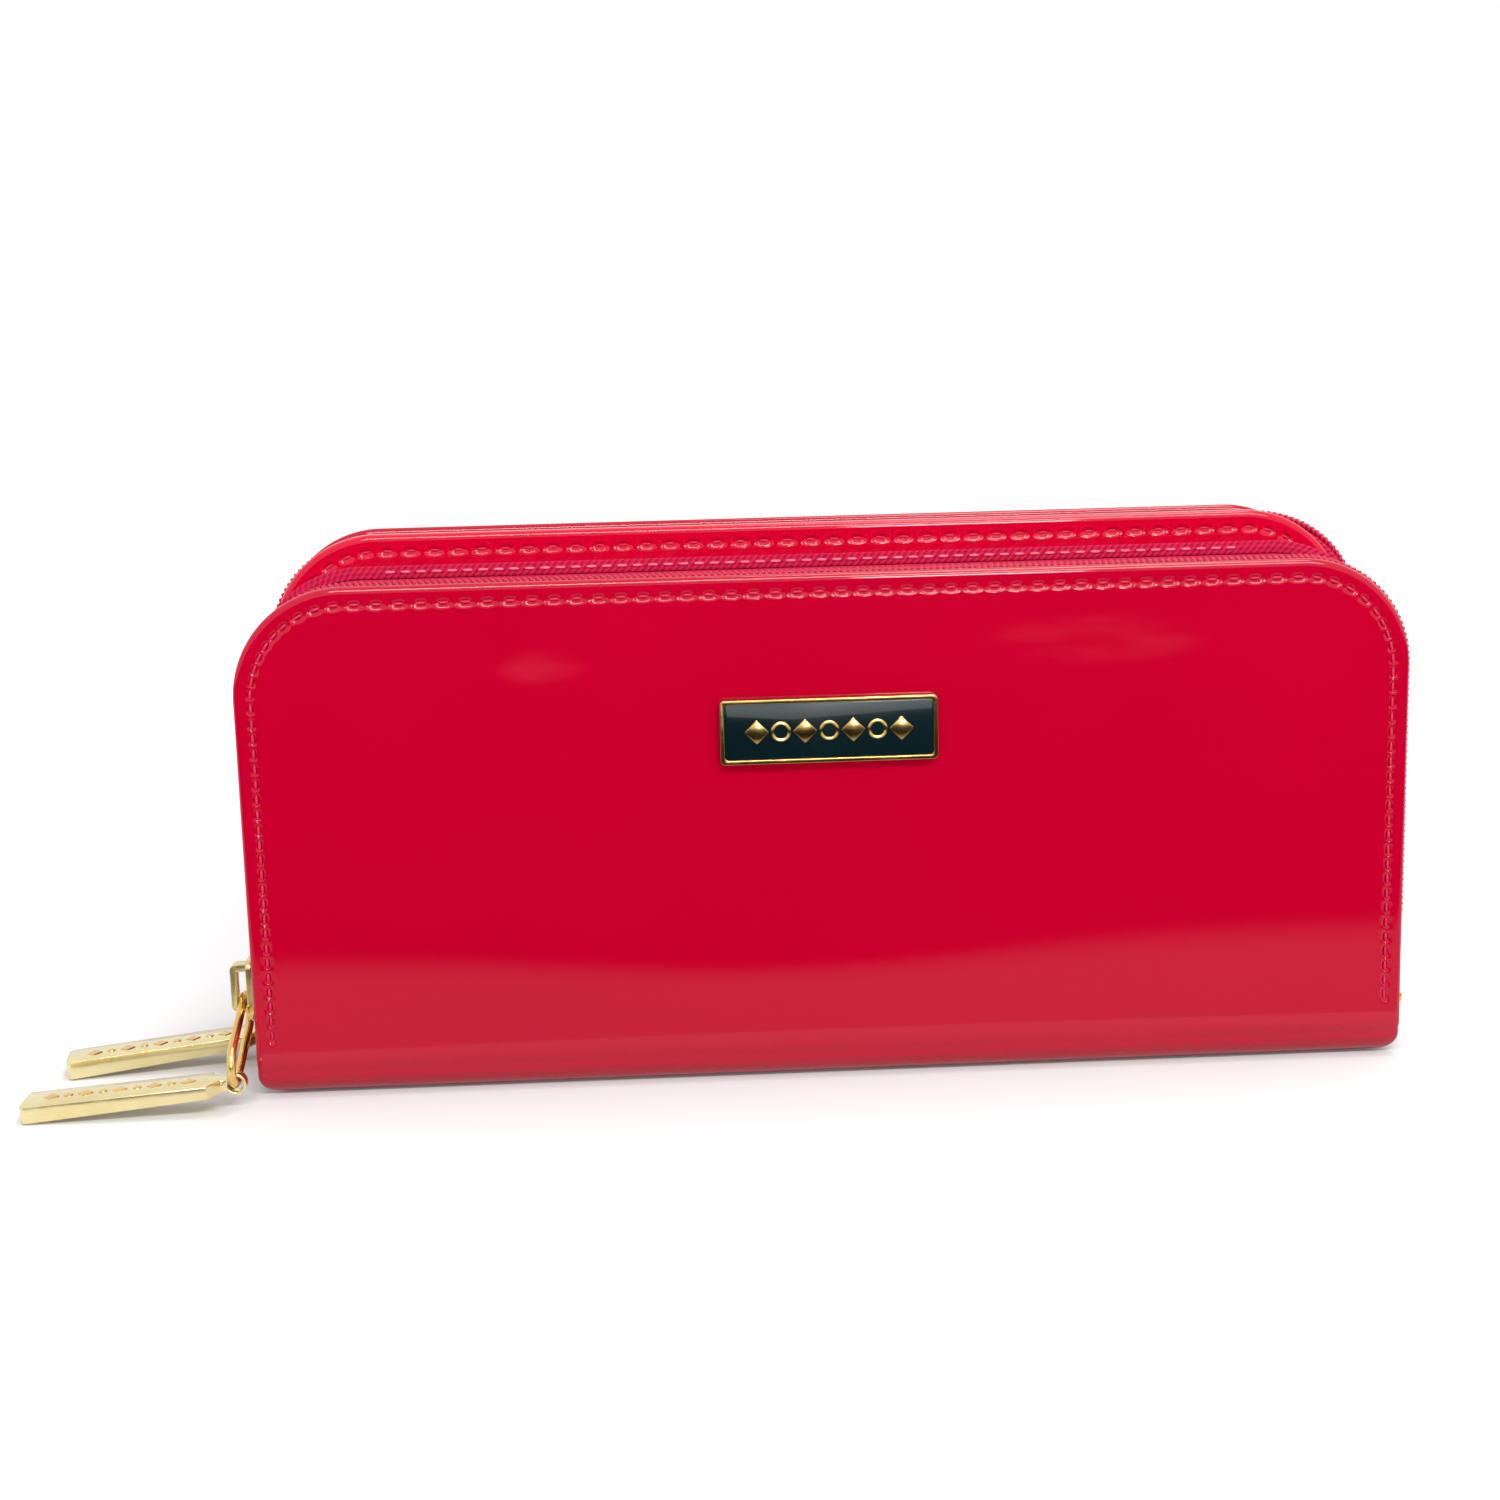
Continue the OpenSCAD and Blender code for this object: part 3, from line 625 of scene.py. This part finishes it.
def ribbon(name, rows, columns, shape):
    """A sheet of rows x columns faces whose points are set by shape(u, v), both 0 to 1."""
    fresh_start()
    bpy.ops.mesh.primitive_grid_add(x_subdivisions=rows, y_subdivisions=columns, size=1)
    piece = bpy.context.object
    piece.name = piece.data.name = name
    co = points_of(piece)
    set_points(piece, shape(co[:, 0] + 0.5, co[:, 1] + 0.5))
    return piece


def outward(piece, merge=0.0):
    only(piece)
    bpy.ops.object.mode_set(mode="EDIT")
    bpy.ops.mesh.select_all(action="SELECT")
    if merge:
        bpy.ops.mesh.remove_doubles(threshold=merge)
        bpy.ops.mesh.select_all(action="DESELECT")
        bpy.ops.mesh.select_mode(type="EDGE")
        bpy.ops.mesh.select_non_manifold()
        bpy.ops.mesh.edge_face_add()
        bpy.ops.mesh.select_all(action="SELECT")
    bpy.ops.mesh.normals_make_consistent(inside=False)
    bpy.ops.object.mode_set(mode="OBJECT")


def scale_weave(piece, length, width):
    for loop in piece.data.uv_layers[0].data:
        loop.uv = (loop.uv[0] * length, loop.uv[1] * width)


def zip_tape(name, node, body, arch, y_edge, y_panel, bulge):
    """The L of wall and flange, as one ribbon with the tape's thickness."""
    at, total = arch
    wall, flange = abs(y_panel - y_edge), FLANGE_END - TAPE_MID
    to_panel = 1 if y_panel > y_edge else -1

    def shape(u, w):
        run = w * (wall + flange)
        on_wall = np.minimum(run, wall)
        down = np.maximum(run - wall, 0)
        puff = bulge * np.sin(np.pi * on_wall / wall) * (down == 0)
        px, pz = at(u * total, TAPE_MID - puff + down)
        y = y_edge + to_panel * (on_wall - 0.35 * MM * np.clip(on_wall / wall, 0, 1))
        return np.stack([px, y, pz], 1)

    piece = ribbon(name, 340, 26, shape)
    scale_weave(piece, total, wall + flange)
    only(piece)
    cloth = piece.modifiers.new("cloth", "SOLIDIFY")
    cloth.thickness, cloth.offset = TAPE_T, 0
    bpy.ops.object.modifier_apply(modifier=cloth.name)
    outward(piece)
    dress(piece, TAPE, 50)
    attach(piece, body)
    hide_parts(node)
    return piece


def arch_of(divider_coil):
    """The arch of a zip, from the box of the coil half that runs foot to foot."""
    a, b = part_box(divider_coil)
    return zip_arch(a.x, b.x, b.z, ZIP_FOOT)


front_arch = arch_of("front_zip_divider_coil")
rear_arch = arch_of("rear_zip_divider_coil")
front_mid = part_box("front_zip_divider_coil")[0].y - COIL_GAP
rear_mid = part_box("rear_zip_divider_coil")[1].y + COIL_GAP
cover_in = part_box("front_cover_lining")[1].y
back_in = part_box("back_cover_lining")[0].y
zip_tape("front_tape_on_cover", "front_zip_cover_tape", "front_cover", front_arch,
         front_mid - COIL_GAP, cover_in, 0.15 * MM)
zip_tape("front_tape_on_divider", "front_zip_divider_tape", "root", front_arch,
         front_mid + COIL_GAP, div_front, 0.30 * MM)
zip_tape("rear_tape_on_divider", "rear_zip_divider_tape", "root", rear_arch,
         rear_mid - COIL_GAP, div_back, 0.15 * MM)
zip_tape("rear_tape_on_cover", "rear_zip_cover_tape", "back_cover", rear_arch,
         rear_mid + COIL_GAP, back_in, 0.25 * MM)

# ---------------------------------------------------------------- tape's selvedge
# The front tape's outer edge stands up against the divider's face, where a row of
# fine pale stitches holds it.

SELVEDGE_W, SELVEDGE_T = 2.2 * MM, 0.5 * MM
FINE_STITCH, FINE_PITCH = 1.9 * MM, 2.75 * MM
sel_low, sel_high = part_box("divider_tape_thread")
sel_z = (sel_low.z + sel_high.z) / 2
at_front, front_total = front_arch
coil_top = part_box("front_zip_divider_coil")[1].z
side_run = coil_top - ZIP_CORNER - ZIP_FOOT
sel_start = side_run + 0.42 * ZIP_CORNER * math.pi / 2


def selvedge_shape(u, w):
    px, pz = at_front(sel_start + u * (front_total - 2 * sel_start),
                      coil_top - sel_z + (w - 0.5) * SELVEDGE_W)
    crown = 0.12 * MM * np.cos((w - 0.5) * math.pi)
    return np.stack([px, div_front - 0.34 * MM - crown, pz], 1)


selvedge = ribbon("tape_selvedge", 260, 6, selvedge_shape)
scale_weave(selvedge, front_total - 2 * sel_start, SELVEDGE_W)
only(selvedge)
cloth = selvedge.modifiers.new("cloth", "SOLIDIFY")
cloth.thickness, cloth.offset = SELVEDGE_T, 0
bpy.ops.object.modifier_apply(modifier=cloth.name)
outward(selvedge)
dress(selvedge, TAPE, 50)
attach(selvedge, "root")
fine_stitch = one_stitch(FINE_STITCH, 0.24 * MM)
fine_row = [Matrix.Translation((x0, div_front - 0.76 * MM, sel_z))
            for x0 in np.arange(sel_low.x + 1.4 * MM, sel_high.x - 1 * MM, FINE_PITCH)]
sew("selvedge_stitches", fine_row, fine_stitch, PALE_THREAD, "root", "divider_tape_thread")

# ---------------------------------------------------------------- zip coils
# Each half of a zip is one nylon monofilament wound into a flat coil of 1.1 mm pitch
# and sewn along the tape's edge. The cover's halves end above the parked slider.

COIL_PITCH = 1.1 * MM
WIRE = 0.52 * MM  # radius of the monofilament
TURN_STEPS = 9
COVER_COIL_START = 24.5 * MM  # height of the cover halves' ends


def nylon_coil():
    f = Finish("nylon_coil", Specular_IOR_Level=0.3)
    tint = f.noise(300, 2.0)
    f.give(Base_Color=f.between(tint, (0.33, 0.0, 0.022, 1), (0.46, 0.002, 0.035, 1)),
           Roughness=tint * 0.15 + 0.30)
    return f.material


COIL = nylon_coil()


def zip_coil(name, node, body, arch, y_mid, start, meshed=0.0):
    """A helix round the arch. start is how far above the foot it begins, and meshed
    turns it so that its turns lie between the other half's."""
    at, total = arch
    run = total - 2 * start
    turns = round(total / COIL_PITCH)
    steps = round(turns * TURN_STEPS * run / total)

    def shape(u, w):
        phase = (start + u * run) / total * turns * 2 * math.pi + meshed
        around = w * 2 * math.pi
        wide, tall = COIL_W / 2 - WIRE, COIL_H / 2 - WIRE
        side_way, up_way = np.cos(phase), np.sin(phase)
        # ring of the wire: one direction out from the coil's axis, one along it
        out_by, along_by = WIRE * np.cos(around), WIRE * np.sin(around)
        depth = COIL_H / 2 - (tall + out_by) * up_way
        px, pz = at(start + u * run + along_by, depth)
        return np.stack([px, y_mid + (wide + out_by) * side_way, pz], 1)

    piece = ribbon(name, steps, 5, shape)
    outward(piece, 0.00001)
    dress(piece, COIL, 80)
    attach(piece, body)
    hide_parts(node)
    return piece


half_coil = COIL_GAP + COIL_W / 2
parked = COVER_COIL_START - ZIP_FOOT
zip_coil("front_coil_on_cover", "front_zip_cover_coil", "front_cover", front_arch,
         front_mid - half_coil, parked, math.pi)
zip_coil("front_coil_on_divider", "front_zip_divider_coil", "root", front_arch,
         front_mid + half_coil, 1.5 * MM)
zip_coil("rear_coil_on_divider", "rear_zip_divider_coil", "root", rear_arch,
         rear_mid - half_coil, 1.5 * MM)
zip_coil("rear_coil_on_cover", "rear_zip_cover_coil", "back_cover", rear_arch,
         rear_mid + half_coil, parked, math.pi)

# ---------------------------------------------------------------- metal fittings
# Sliders, links, pull bars, stops and plaque frame are zinc castings with a pale gold
# plating, polished, with every edge eased by the tumbling.

def plating(name, light, warm, rough):
    f = Finish(name, Metallic=1.0)
    patch = f.noise(160, 3.0)
    polish = f.noise(900, 2.0, (0.15, 1, 1))
    f.give(Base_Color=f.between(patch, warm, light),
           Roughness=patch * 0.14 + rough,
           Normal=f.raised(polish, 0.00002, f.raised(patch, 0.00010)))
    return f.material


GOLD_METAL = plating("gold_plating", (0.86, 0.60, 0.22, 1), (0.66, 0.38, 0.10, 1), 0.14)
PALE_METAL = plating("pale_gold_plating", (0.80, 0.67, 0.32, 1), (0.64, 0.47, 0.17, 1), 0.16)
BAR_METAL = plating("bar_plating", (0.90, 0.82, 0.50, 1), (0.70, 0.55, 0.22, 1), 0.12)
STEEL = plating("plain_steel", (0.62, 0.62, 0.63, 1), (0.50, 0.50, 0.52, 1), 0.26)


def eased_copy(name, node, material, body, width, angle=35):
    """A fitting as it left the tumbler: the node's own shape with its edges rounded."""
    source = frame["nodes"][node]
    piece = source.copy()
    piece.data = source.data.copy()
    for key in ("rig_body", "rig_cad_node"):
        if key in piece:
            del piece[key]
    piece.parent = None
    piece.name = piece.data.name = name
    bpy.context.scene.collection.objects.link(piece)
    only(piece)
    bpy.ops.object.mode_set(mode="EDIT")
    bpy.ops.mesh.select_all(action="SELECT")
    bpy.ops.mesh.remove_doubles(threshold=0.000002)
    bpy.ops.mesh.select_all(action="SELECT")
    bpy.ops.mesh.dissolve_limited(angle_limit=math.radians(1))
    bpy.ops.object.mode_set(mode="OBJECT")
    if width:
        ease = piece.modifiers.new("ease", "BEVEL")
        ease.width, ease.segments = width, 3
        ease.limit_method, ease.angle_limit = "ANGLE", math.radians(30)
        ease.use_clamp_overlap = True
        bpy.ops.object.modifier_apply(modifier=ease.name)
    dress(piece, material, angle)
    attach(piece, body)
    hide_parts(node)
    return piece


for made, node, material, slot, body, width in (
        ("slider_body", "slider", PALE_METAL, "pale_gold", "slider", 0.15),
        ("wire_link", "link", GOLD_METAL, "gold_metal", "link", 0),
        ("bar", "pull_bar", BAR_METAL, "pale_gold", "pull", 0.25)):
    for end in ("front_", "rear_"):
        eased_copy(end + made, end + node, material, end + body, width * MM)
eased_copy("coin_slider_body", "coin_slider", PALE_METAL, "coin_slider", 0.1 * MM)
eased_copy("coin_tab", "coin_pull", GOLD_METAL, "coin_pull", 0.1 * MM)
for stop, body in (("front_zip_cover_stops", "front_cover"), ("front_zip_divider_stops", "root"),
                   ("rear_zip_divider_stops", "root"), ("rear_zip_cover_stops", "back_cover"),
                   ("coin_zip_stops", "root")):
    eased_copy(stop + "_crimped", stop, GOLD_METAL, body, 0.1 * MM)

# ---------------------------------------------------------------- bar ornament
# A row of small raised lozenges and studs cast on the top of each pull bar.

BAR_DROOP = math.radians(5.8)
BAR_TOP = 1.1 * MM  # above the eye's middle; the bar thickens by 1 in BAR_TAPER
BAR_TAPER = 37
STUDS = 9
FIRST_STUD, STUD_PITCH = 8, 2.9


def stud(radius, height, corners):
    """A low cast stud with a bevelled rim, its axis up."""
    fresh_start()
    bpy.ops.mesh.primitive_cylinder_add(vertices=corners, radius=radius, depth=height)
    piece = bpy.context.object
    rim = piece.modifiers.new("rim", "BEVEL")
    rim.width, rim.segments = height * 0.4, 2
    rim.limit_method, rim.angle_limit = "ANGLE", math.radians(50)
    bpy.ops.object.modifier_apply(modifier=rim.name)
    return piece


def ornament(name, places, shapes, material, body):
    """Copies the shapes in turn to the places, and joins them into one piece."""
    made = []
    for k, place in enumerate(places):
        source = shapes[k % len(shapes)]
        copy = source.copy()
        copy.data = source.data.copy()
        copy.data.transform(place)
        bpy.context.scene.collection.objects.link(copy)
        made.append(copy)
    fresh_start()
    for copy in made:
        copy.select_set(True)
    bpy.context.view_layer.objects.active = made[0]
    bpy.ops.object.join()
    piece = bpy.context.object
    piece.name = piece.data.name = name
    dress(piece, material, 35)
    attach(piece, body)
    return piece


bar_studs = [stud(1.35 * MM, 0.3 * MM, 4), stud(0.75 * MM, 0.3 * MM, 16)]
eyes = {"front": (Vector((-102.75, -29.455, 4.812)) * MM, 0),
        "rear": (Vector((-101.25, -1.755, 4.812)) * MM, math.radians(8))}
for end, (eye, turned) in eyes.items():
    lay = (Matrix.Translation(eye) @ Matrix.Rotation(-BAR_DROOP, 4, "Y")
           @ Matrix.Rotation(turned, 4, "Z"))
    places = []
    for k in range(STUDS):
        back = (FIRST_STUD + STUD_PITCH * k) * MM
        places.append(lay @ Matrix.Translation((-back, 0, BAR_TOP + back / BAR_TAPER)))
    ornament(end + "_bar_ornament", places, bar_studs, GOLD_METAL, end + "_pull")

# ---------------------------------------------------------------- plaque
# A cast gold frame pressed through the cover on two prongs, with dark glossy enamel
# poured inside it, its top painted lighter as a painted highlight, and a plain row of
# raised gold lozenges and rings.

ORNAMENT_PITCH = 4.1 * MM
enamel_low, enamel_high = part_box("plaque_enamel")
eased_copy("plaque_rim", "plaque_frame", GOLD_METAL, "front_cover", 0.12 * MM)
eased_copy("plaque_plate", "plaque_back_plate", STEEL, "front_cover", 0.08 * MM)


def enamel_with_painted_highlight():
    f = Finish("enamel_with_painted_highlight", Coat_Weight=1.0, Coat_Roughness=0.03)
    cloud = f.noise(70, 2.0)
    height = f.node("ShaderNodeSeparateXYZ", {}, f.where).part("Z")
    rise = (height - enamel_low.z) * (1 / (enamel_high.z - enamel_low.z))
    deep = f.between(cloud, (0.001, 0.004, 0.007, 1), (0.002, 0.012, 0.012, 1))
    # The top of the enamel is painted lighter: a painted highlight of the light from above on the
    # glossy enamel.
    f.give(Base_Color=f.between(rise.above(0.85, 0.12) * 0.4, deep, (0.02, 0.045, 0.05, 1)),
           Roughness=cloud * 0.06 + 0.10)
    return f.material


eased_copy("enamel", "plaque_enamel", enamel_with_painted_highlight(), "front_cover", 0.1 * MM)
fresh_start()
bpy.ops.mesh.primitive_torus_add(major_radius=1.45 * MM, minor_radius=0.32 * MM,
                                 major_segments=28, minor_segments=8)
plaque_ring = bpy.context.object
lozenge = stud(2.1 * MM, 0.4 * MM, 4)
plaque_z = (enamel_low.z + enamel_high.z) / 2
upright = Matrix.Rotation(math.pi / 2, 4, "X")
row = [Matrix.Translation((k * ORNAMENT_PITCH, enamel_low.y + 0.02 * MM, plaque_z)) @ upright
       for k in range(-3, 4)]
ornament("plaque_ornament", row, [lozenge, plaque_ring], GOLD_METAL, "front_cover")

# ---------------------------------------------------------------- base
# The leather the wallet stands on, between the two folds, with its stiffener and its
# woven lining on top.

eased_copy("base_panel", "base_leather", PATENT, "root", 0.15 * MM)


def inner_leather():
    f = Finish("grained_leather", Specular_IOR_Level=0.4)
    pebble = f.node("ShaderNodeTexVoronoi", {"feature": "SMOOTH_F1"}, Vector=f.where, Scale=900.0)
    tone = f.noise(60, 3.0)
    f.give(Base_Color=f.between(tone, (0.30, 0.006, 0.026, 1), (0.40, 0.008, 0.032, 1)),
           Roughness=tone * 0.15 + 0.45, Normal=f.raised(pebble, 0.00012))
    return f.material


def woven_lining():
    f = Finish("woven_lining", Roughness=0.85, Specular_IOR_Level=0.15)
    place = f.node("ShaderNodeSeparateXYZ", {}, f.where)
    weft = (place.part("Z") * 9000.0).sum_of("SINE")
    warp = (place.part("X") * 9000.0).sum_of("SINE")
    cloth = weft * warp * 0.5 + 0.5
    tone = f.noise(40, 2.0)
    f.give(Base_Color=f.between(cloth * 0.6 + tone * 0.4, (0.18, 0.004, 0.016, 1),
                                (0.34, 0.012, 0.036, 1)),
           Normal=f.raised(cloth, 0.00012))
    return f.material


def grey_board():
    f = Finish("grey_board", Roughness=0.9)
    fibre = f.noise(1200, 4.0, (1, 1, 0.3))
    f.give(Base_Color=f.between(fibre, (0.30, 0.22, 0.14, 1), (0.46, 0.36, 0.25, 1)),
           Normal=f.raised(fibre, 0.00008))
    return f.material


INNER, LINING, BOARD = inner_leather(), woven_lining(), grey_board()
for node in ("base_board", "front_cover_board", "back_cover_board"):
    frame["nodes"][node].data.materials.clear()
    frame["nodes"][node].data.materials.append(BOARD)
eased_copy("base_cloth", "base_lining", LINING, "root", 0.12 * MM)

# ---------------------------------------------------------------- inside of the wallet
# Thin leather card slots on each cover, cloth linings, a slip pocket and a partition
# for notes, all with soft folded edges; the tabs finish the zips' ends.

INSIDE = {
    "front_cover_lining": (LINING, "lining_cloth", "front_cover"),
    "back_cover_lining": (LINING, "lining_cloth", "back_cover"),
    "divider_slip_pocket": (INNER, "inner_leather", "root"),
    "bill_divider": (LINING, "lining_cloth", "root"),
    "coin_pocket_front": (INNER, "inner_leather", "root"),
    "coin_pocket_back": (INNER, "inner_leather", "root"),
    "coin_pocket_gusset": (LINING, "lining_cloth", "root"),
    "front_end_tabs": (INNER, "inner_leather", "root"),
    "rear_end_tabs": (INNER, "inner_leather", "root"),
}
INSIDE.update({f"front_slot_{k}": (INNER, "inner_leather", "front_cover") for k in (1, 2, 3, 4)})
INSIDE.update({f"rear_slot_{k}": (INNER, "inner_leather", "back_cover") for k in (1, 2, 3)})
for node, (material, slot, body) in INSIDE.items():
    eased_copy(node + "_sewn", node, material, body, 0.2 * MM, 50)

SLOT_ROW = 2.2 * MM  # below a slot's top edge
SLOT_PITCH = 3 * MM
for cover, side, count in (("front", 1, 4), ("rear", -1, 3)):
    for k in range(1, count + 1):
        a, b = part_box(f"{cover}_slot_{k}")
        face = b.y + 0.05 * MM if side > 0 else a.y - 0.05 * MM
        facing = Matrix.Rotation(math.pi if side > 0 else 0, 4, "Z")
        row = [Matrix.Translation((x0, face, b.z - SLOT_ROW)) @ facing
               for x0 in np.arange(a.x + 4 * MM, b.x - 4 * MM, SLOT_PITCH)]
        sew(f"{cover}_slot_stitches_{k}", row, short_stitch, THREAD,
            "front_cover" if side > 0 else "back_cover")

# ---------------------------------------------------------------- coin pocket zip
# A small zip across the top of the coin pocket, its tapes sewn to the two walls.

COIN_PITCH = 0.9 * MM
eased_copy("coin_tapes", "coin_zip_tapes", LINING, "root", 0.1 * MM)
coin_low, coin_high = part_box("coin_zip_coils")
coin_teeth = []
fresh_start()
bpy.ops.mesh.primitive_torus_add(major_radius=0.33 * MM, minor_radius=0.15 * MM,
                                 major_segments=8, minor_segments=4,
                                 rotation=(0, math.pi / 2, 0))
coin_turn = bpy.context.object
bpy.ops.object.transform_apply(rotation=True)
for y0 in (coin_low.y + 0.4 * MM, coin_high.y - 0.4 * MM):
    for x0 in np.arange(coin_low.x + 0.5 * MM, coin_high.x - 0.4 * MM, COIN_PITCH):
        coin_teeth.append(Matrix.Translation((x0, y0, (coin_low.z + coin_high.z) / 2)))
coin_coils = ornament("coin_coils", coin_teeth, [coin_turn], COIL, "root")
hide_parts("coin_zip_coils")

for template in (short_stitch, long_stitch, fine_stitch, plaque_ring, lozenge, coin_turn,
                 *bar_studs):
    bpy.data.objects.remove(template)

# ---------------------------------------------------------------- studio
# A plain white floor. The lacquer doesn't reflect its front part, but a glowing sheet just
# below it: a painted reflection of the table that fades to black, a painted dark room.
# Three soft boxes stand over and in front.

# The dark room is painted: between these two places the reflection sheet's glow fades to black.
TABLE_EDGE = -0.108  # where the fade into the dark room starts and ends, going forward
DARK_FROM = -0.138
FLOOR_SEAM = -0.055  # where the table ends and the apron starts
FLOOR_REACH, FLOOR_DEPTH = 30, 60


def white_paper():
    """Paper that is a little greyer under the lamps, so that soft shadows show on it."""
    f = Finish("white_paper", Roughness=0.9, Specular_IOR_Level=0.0,
               Emission_Color=(1, 1, 1, 1), Emission_Strength=0.05)
    place = f.node("ShaderNodeSeparateXYZ", {}, f.where)
    away = (place.part("X") ** 2 + place.part("Y") ** 2) ** 0.5
    far = away.above(0.31, 0.13)
    f.give(Base_Color=f.between(far, (0.61, 0.61, 0.61, 1), (0.96, 0.96, 0.96, 1)))
    return f.material


def painted_table_reflection():
    """A glowing sheet that paints the table's near part into the lacquer as a painted reflection;
    its glow fades to black, a painted dark room.
    """
    f = Finish("painted_table_reflection", Base_Color=(0, 0, 0, 1), Roughness=1.0,
               Specular_IOR_Level=0.0, Emission_Strength=0.62)
    depth = f.node("ShaderNodeSeparateXYZ", {}, f.where).part("Y")
    fade = f.node("ShaderNodeMapRange", {"interpolation_type": "SMOOTHSTEP"},
                  depth, DARK_FROM, TABLE_EDGE, 0.0, 1.0)
    f.give(Emission_Color=f.between(fade, (0, 0, 0, 1), (1, 1, 1, 1)))
    return f.material


def flat_floor(name, x0, x1, y0, y1, z, material):
    fresh_start()
    bpy.ops.mesh.primitive_plane_add(size=1)
    floor = bpy.context.object
    floor.name = name
    floor.scale, floor.location = (x1 - x0, y1 - y0, 1), ((x0 + x1) / 2, (y0 + y1) / 2, z)
    bpy.ops.object.transform_apply(location=True, rotation=True, scale=True)
    floor.data.materials.append(material)
    return floor


PAPER = white_paper()
flat_floor("table", -FLOOR_REACH, FLOOR_REACH, FLOOR_SEAM, FLOOR_DEPTH, 0, PAPER)
apron = flat_floor("apron", -FLOOR_REACH, FLOOR_REACH, -FLOOR_REACH, FLOOR_SEAM, 0, PAPER)
apron.visible_glossy = False
# A glowing sheet under the apron, seen only in reflections: the painted reflection of the table,
# fading to black.
flat_floor("glowing_reflection_sheet", -FLOOR_REACH, FLOOR_REACH, -FLOOR_REACH, FLOOR_SEAM, -0.004,
           painted_table_reflection())


def soft_box(name, place, target, size, power):
    light = bpy.data.lights.new(name, "AREA")
    light.shape, light.energy = "RECTANGLE", power
    light.size, light.size_y = size
    lamp = bpy.data.objects.new(name, light)
    bpy.context.scene.collection.objects.link(lamp)
    aim = (Vector(target) - Vector(place)).to_track_quat("-Z", "Y")
    lamp.matrix_world = Matrix.Translation(place) @ aim.to_matrix().to_4x4()
    return lamp


soft_box("overhead", (0.20, 0.05, 0.9), (0.02, 0, 0), (0.5, 0.3), 3.6)
soft_box("brow_light", (0.12, -0.85, 0.78), (0.02, 0, 0.06), (0.9, 0.18), 11.0)
soft_box("window", (0.195, -1.2, 0.26), (0.02, 0, 0.06), (0.16, 0.10), 2.0)

world = bpy.data.worlds.new("studio_air")
world.use_nodes = True
world.node_tree.nodes["Background"].inputs["Color"].default_value = (1, 1, 1, 1)
world.node_tree.nodes["Background"].inputs["Strength"].default_value = 1.0
bpy.context.scene.world = world
bpy.context.scene.view_settings.view_transform = "Standard"

# ---------------------------------------------------------------- camera
# Eye level is 35 mm above the wallet's top, a little to the left of its middle.

LENS_MM = 54.0
EYE = Vector((-0.0295, -0.400, 0.1295))
PITCH, YAW, ROLL = (math.radians(a) for a in (10.67, 2.45, -1.43))
forward = Vector((math.sin(YAW) * math.cos(PITCH), math.cos(YAW) * math.cos(PITCH),
                  -math.sin(PITCH)))
level = Vector((math.cos(YAW), -math.sin(YAW), 0))
over = level.cross(forward)
right = level * math.cos(ROLL) + over * math.sin(ROLL)
up = over * math.cos(ROLL) - level * math.sin(ROLL)
lens = bpy.data.cameras.new("studio_camera")
lens.lens, lens.sensor_width = LENS_MM, 36
lens.clip_start = 0.01
camera = bpy.data.objects.new("studio_camera", lens)
bpy.context.scene.collection.objects.link(camera)
camera.matrix_world = Matrix.Translation(EYE) @ Matrix((right, up, -forward)).transposed().to_4x4()
bpy.context.scene.camera = camera
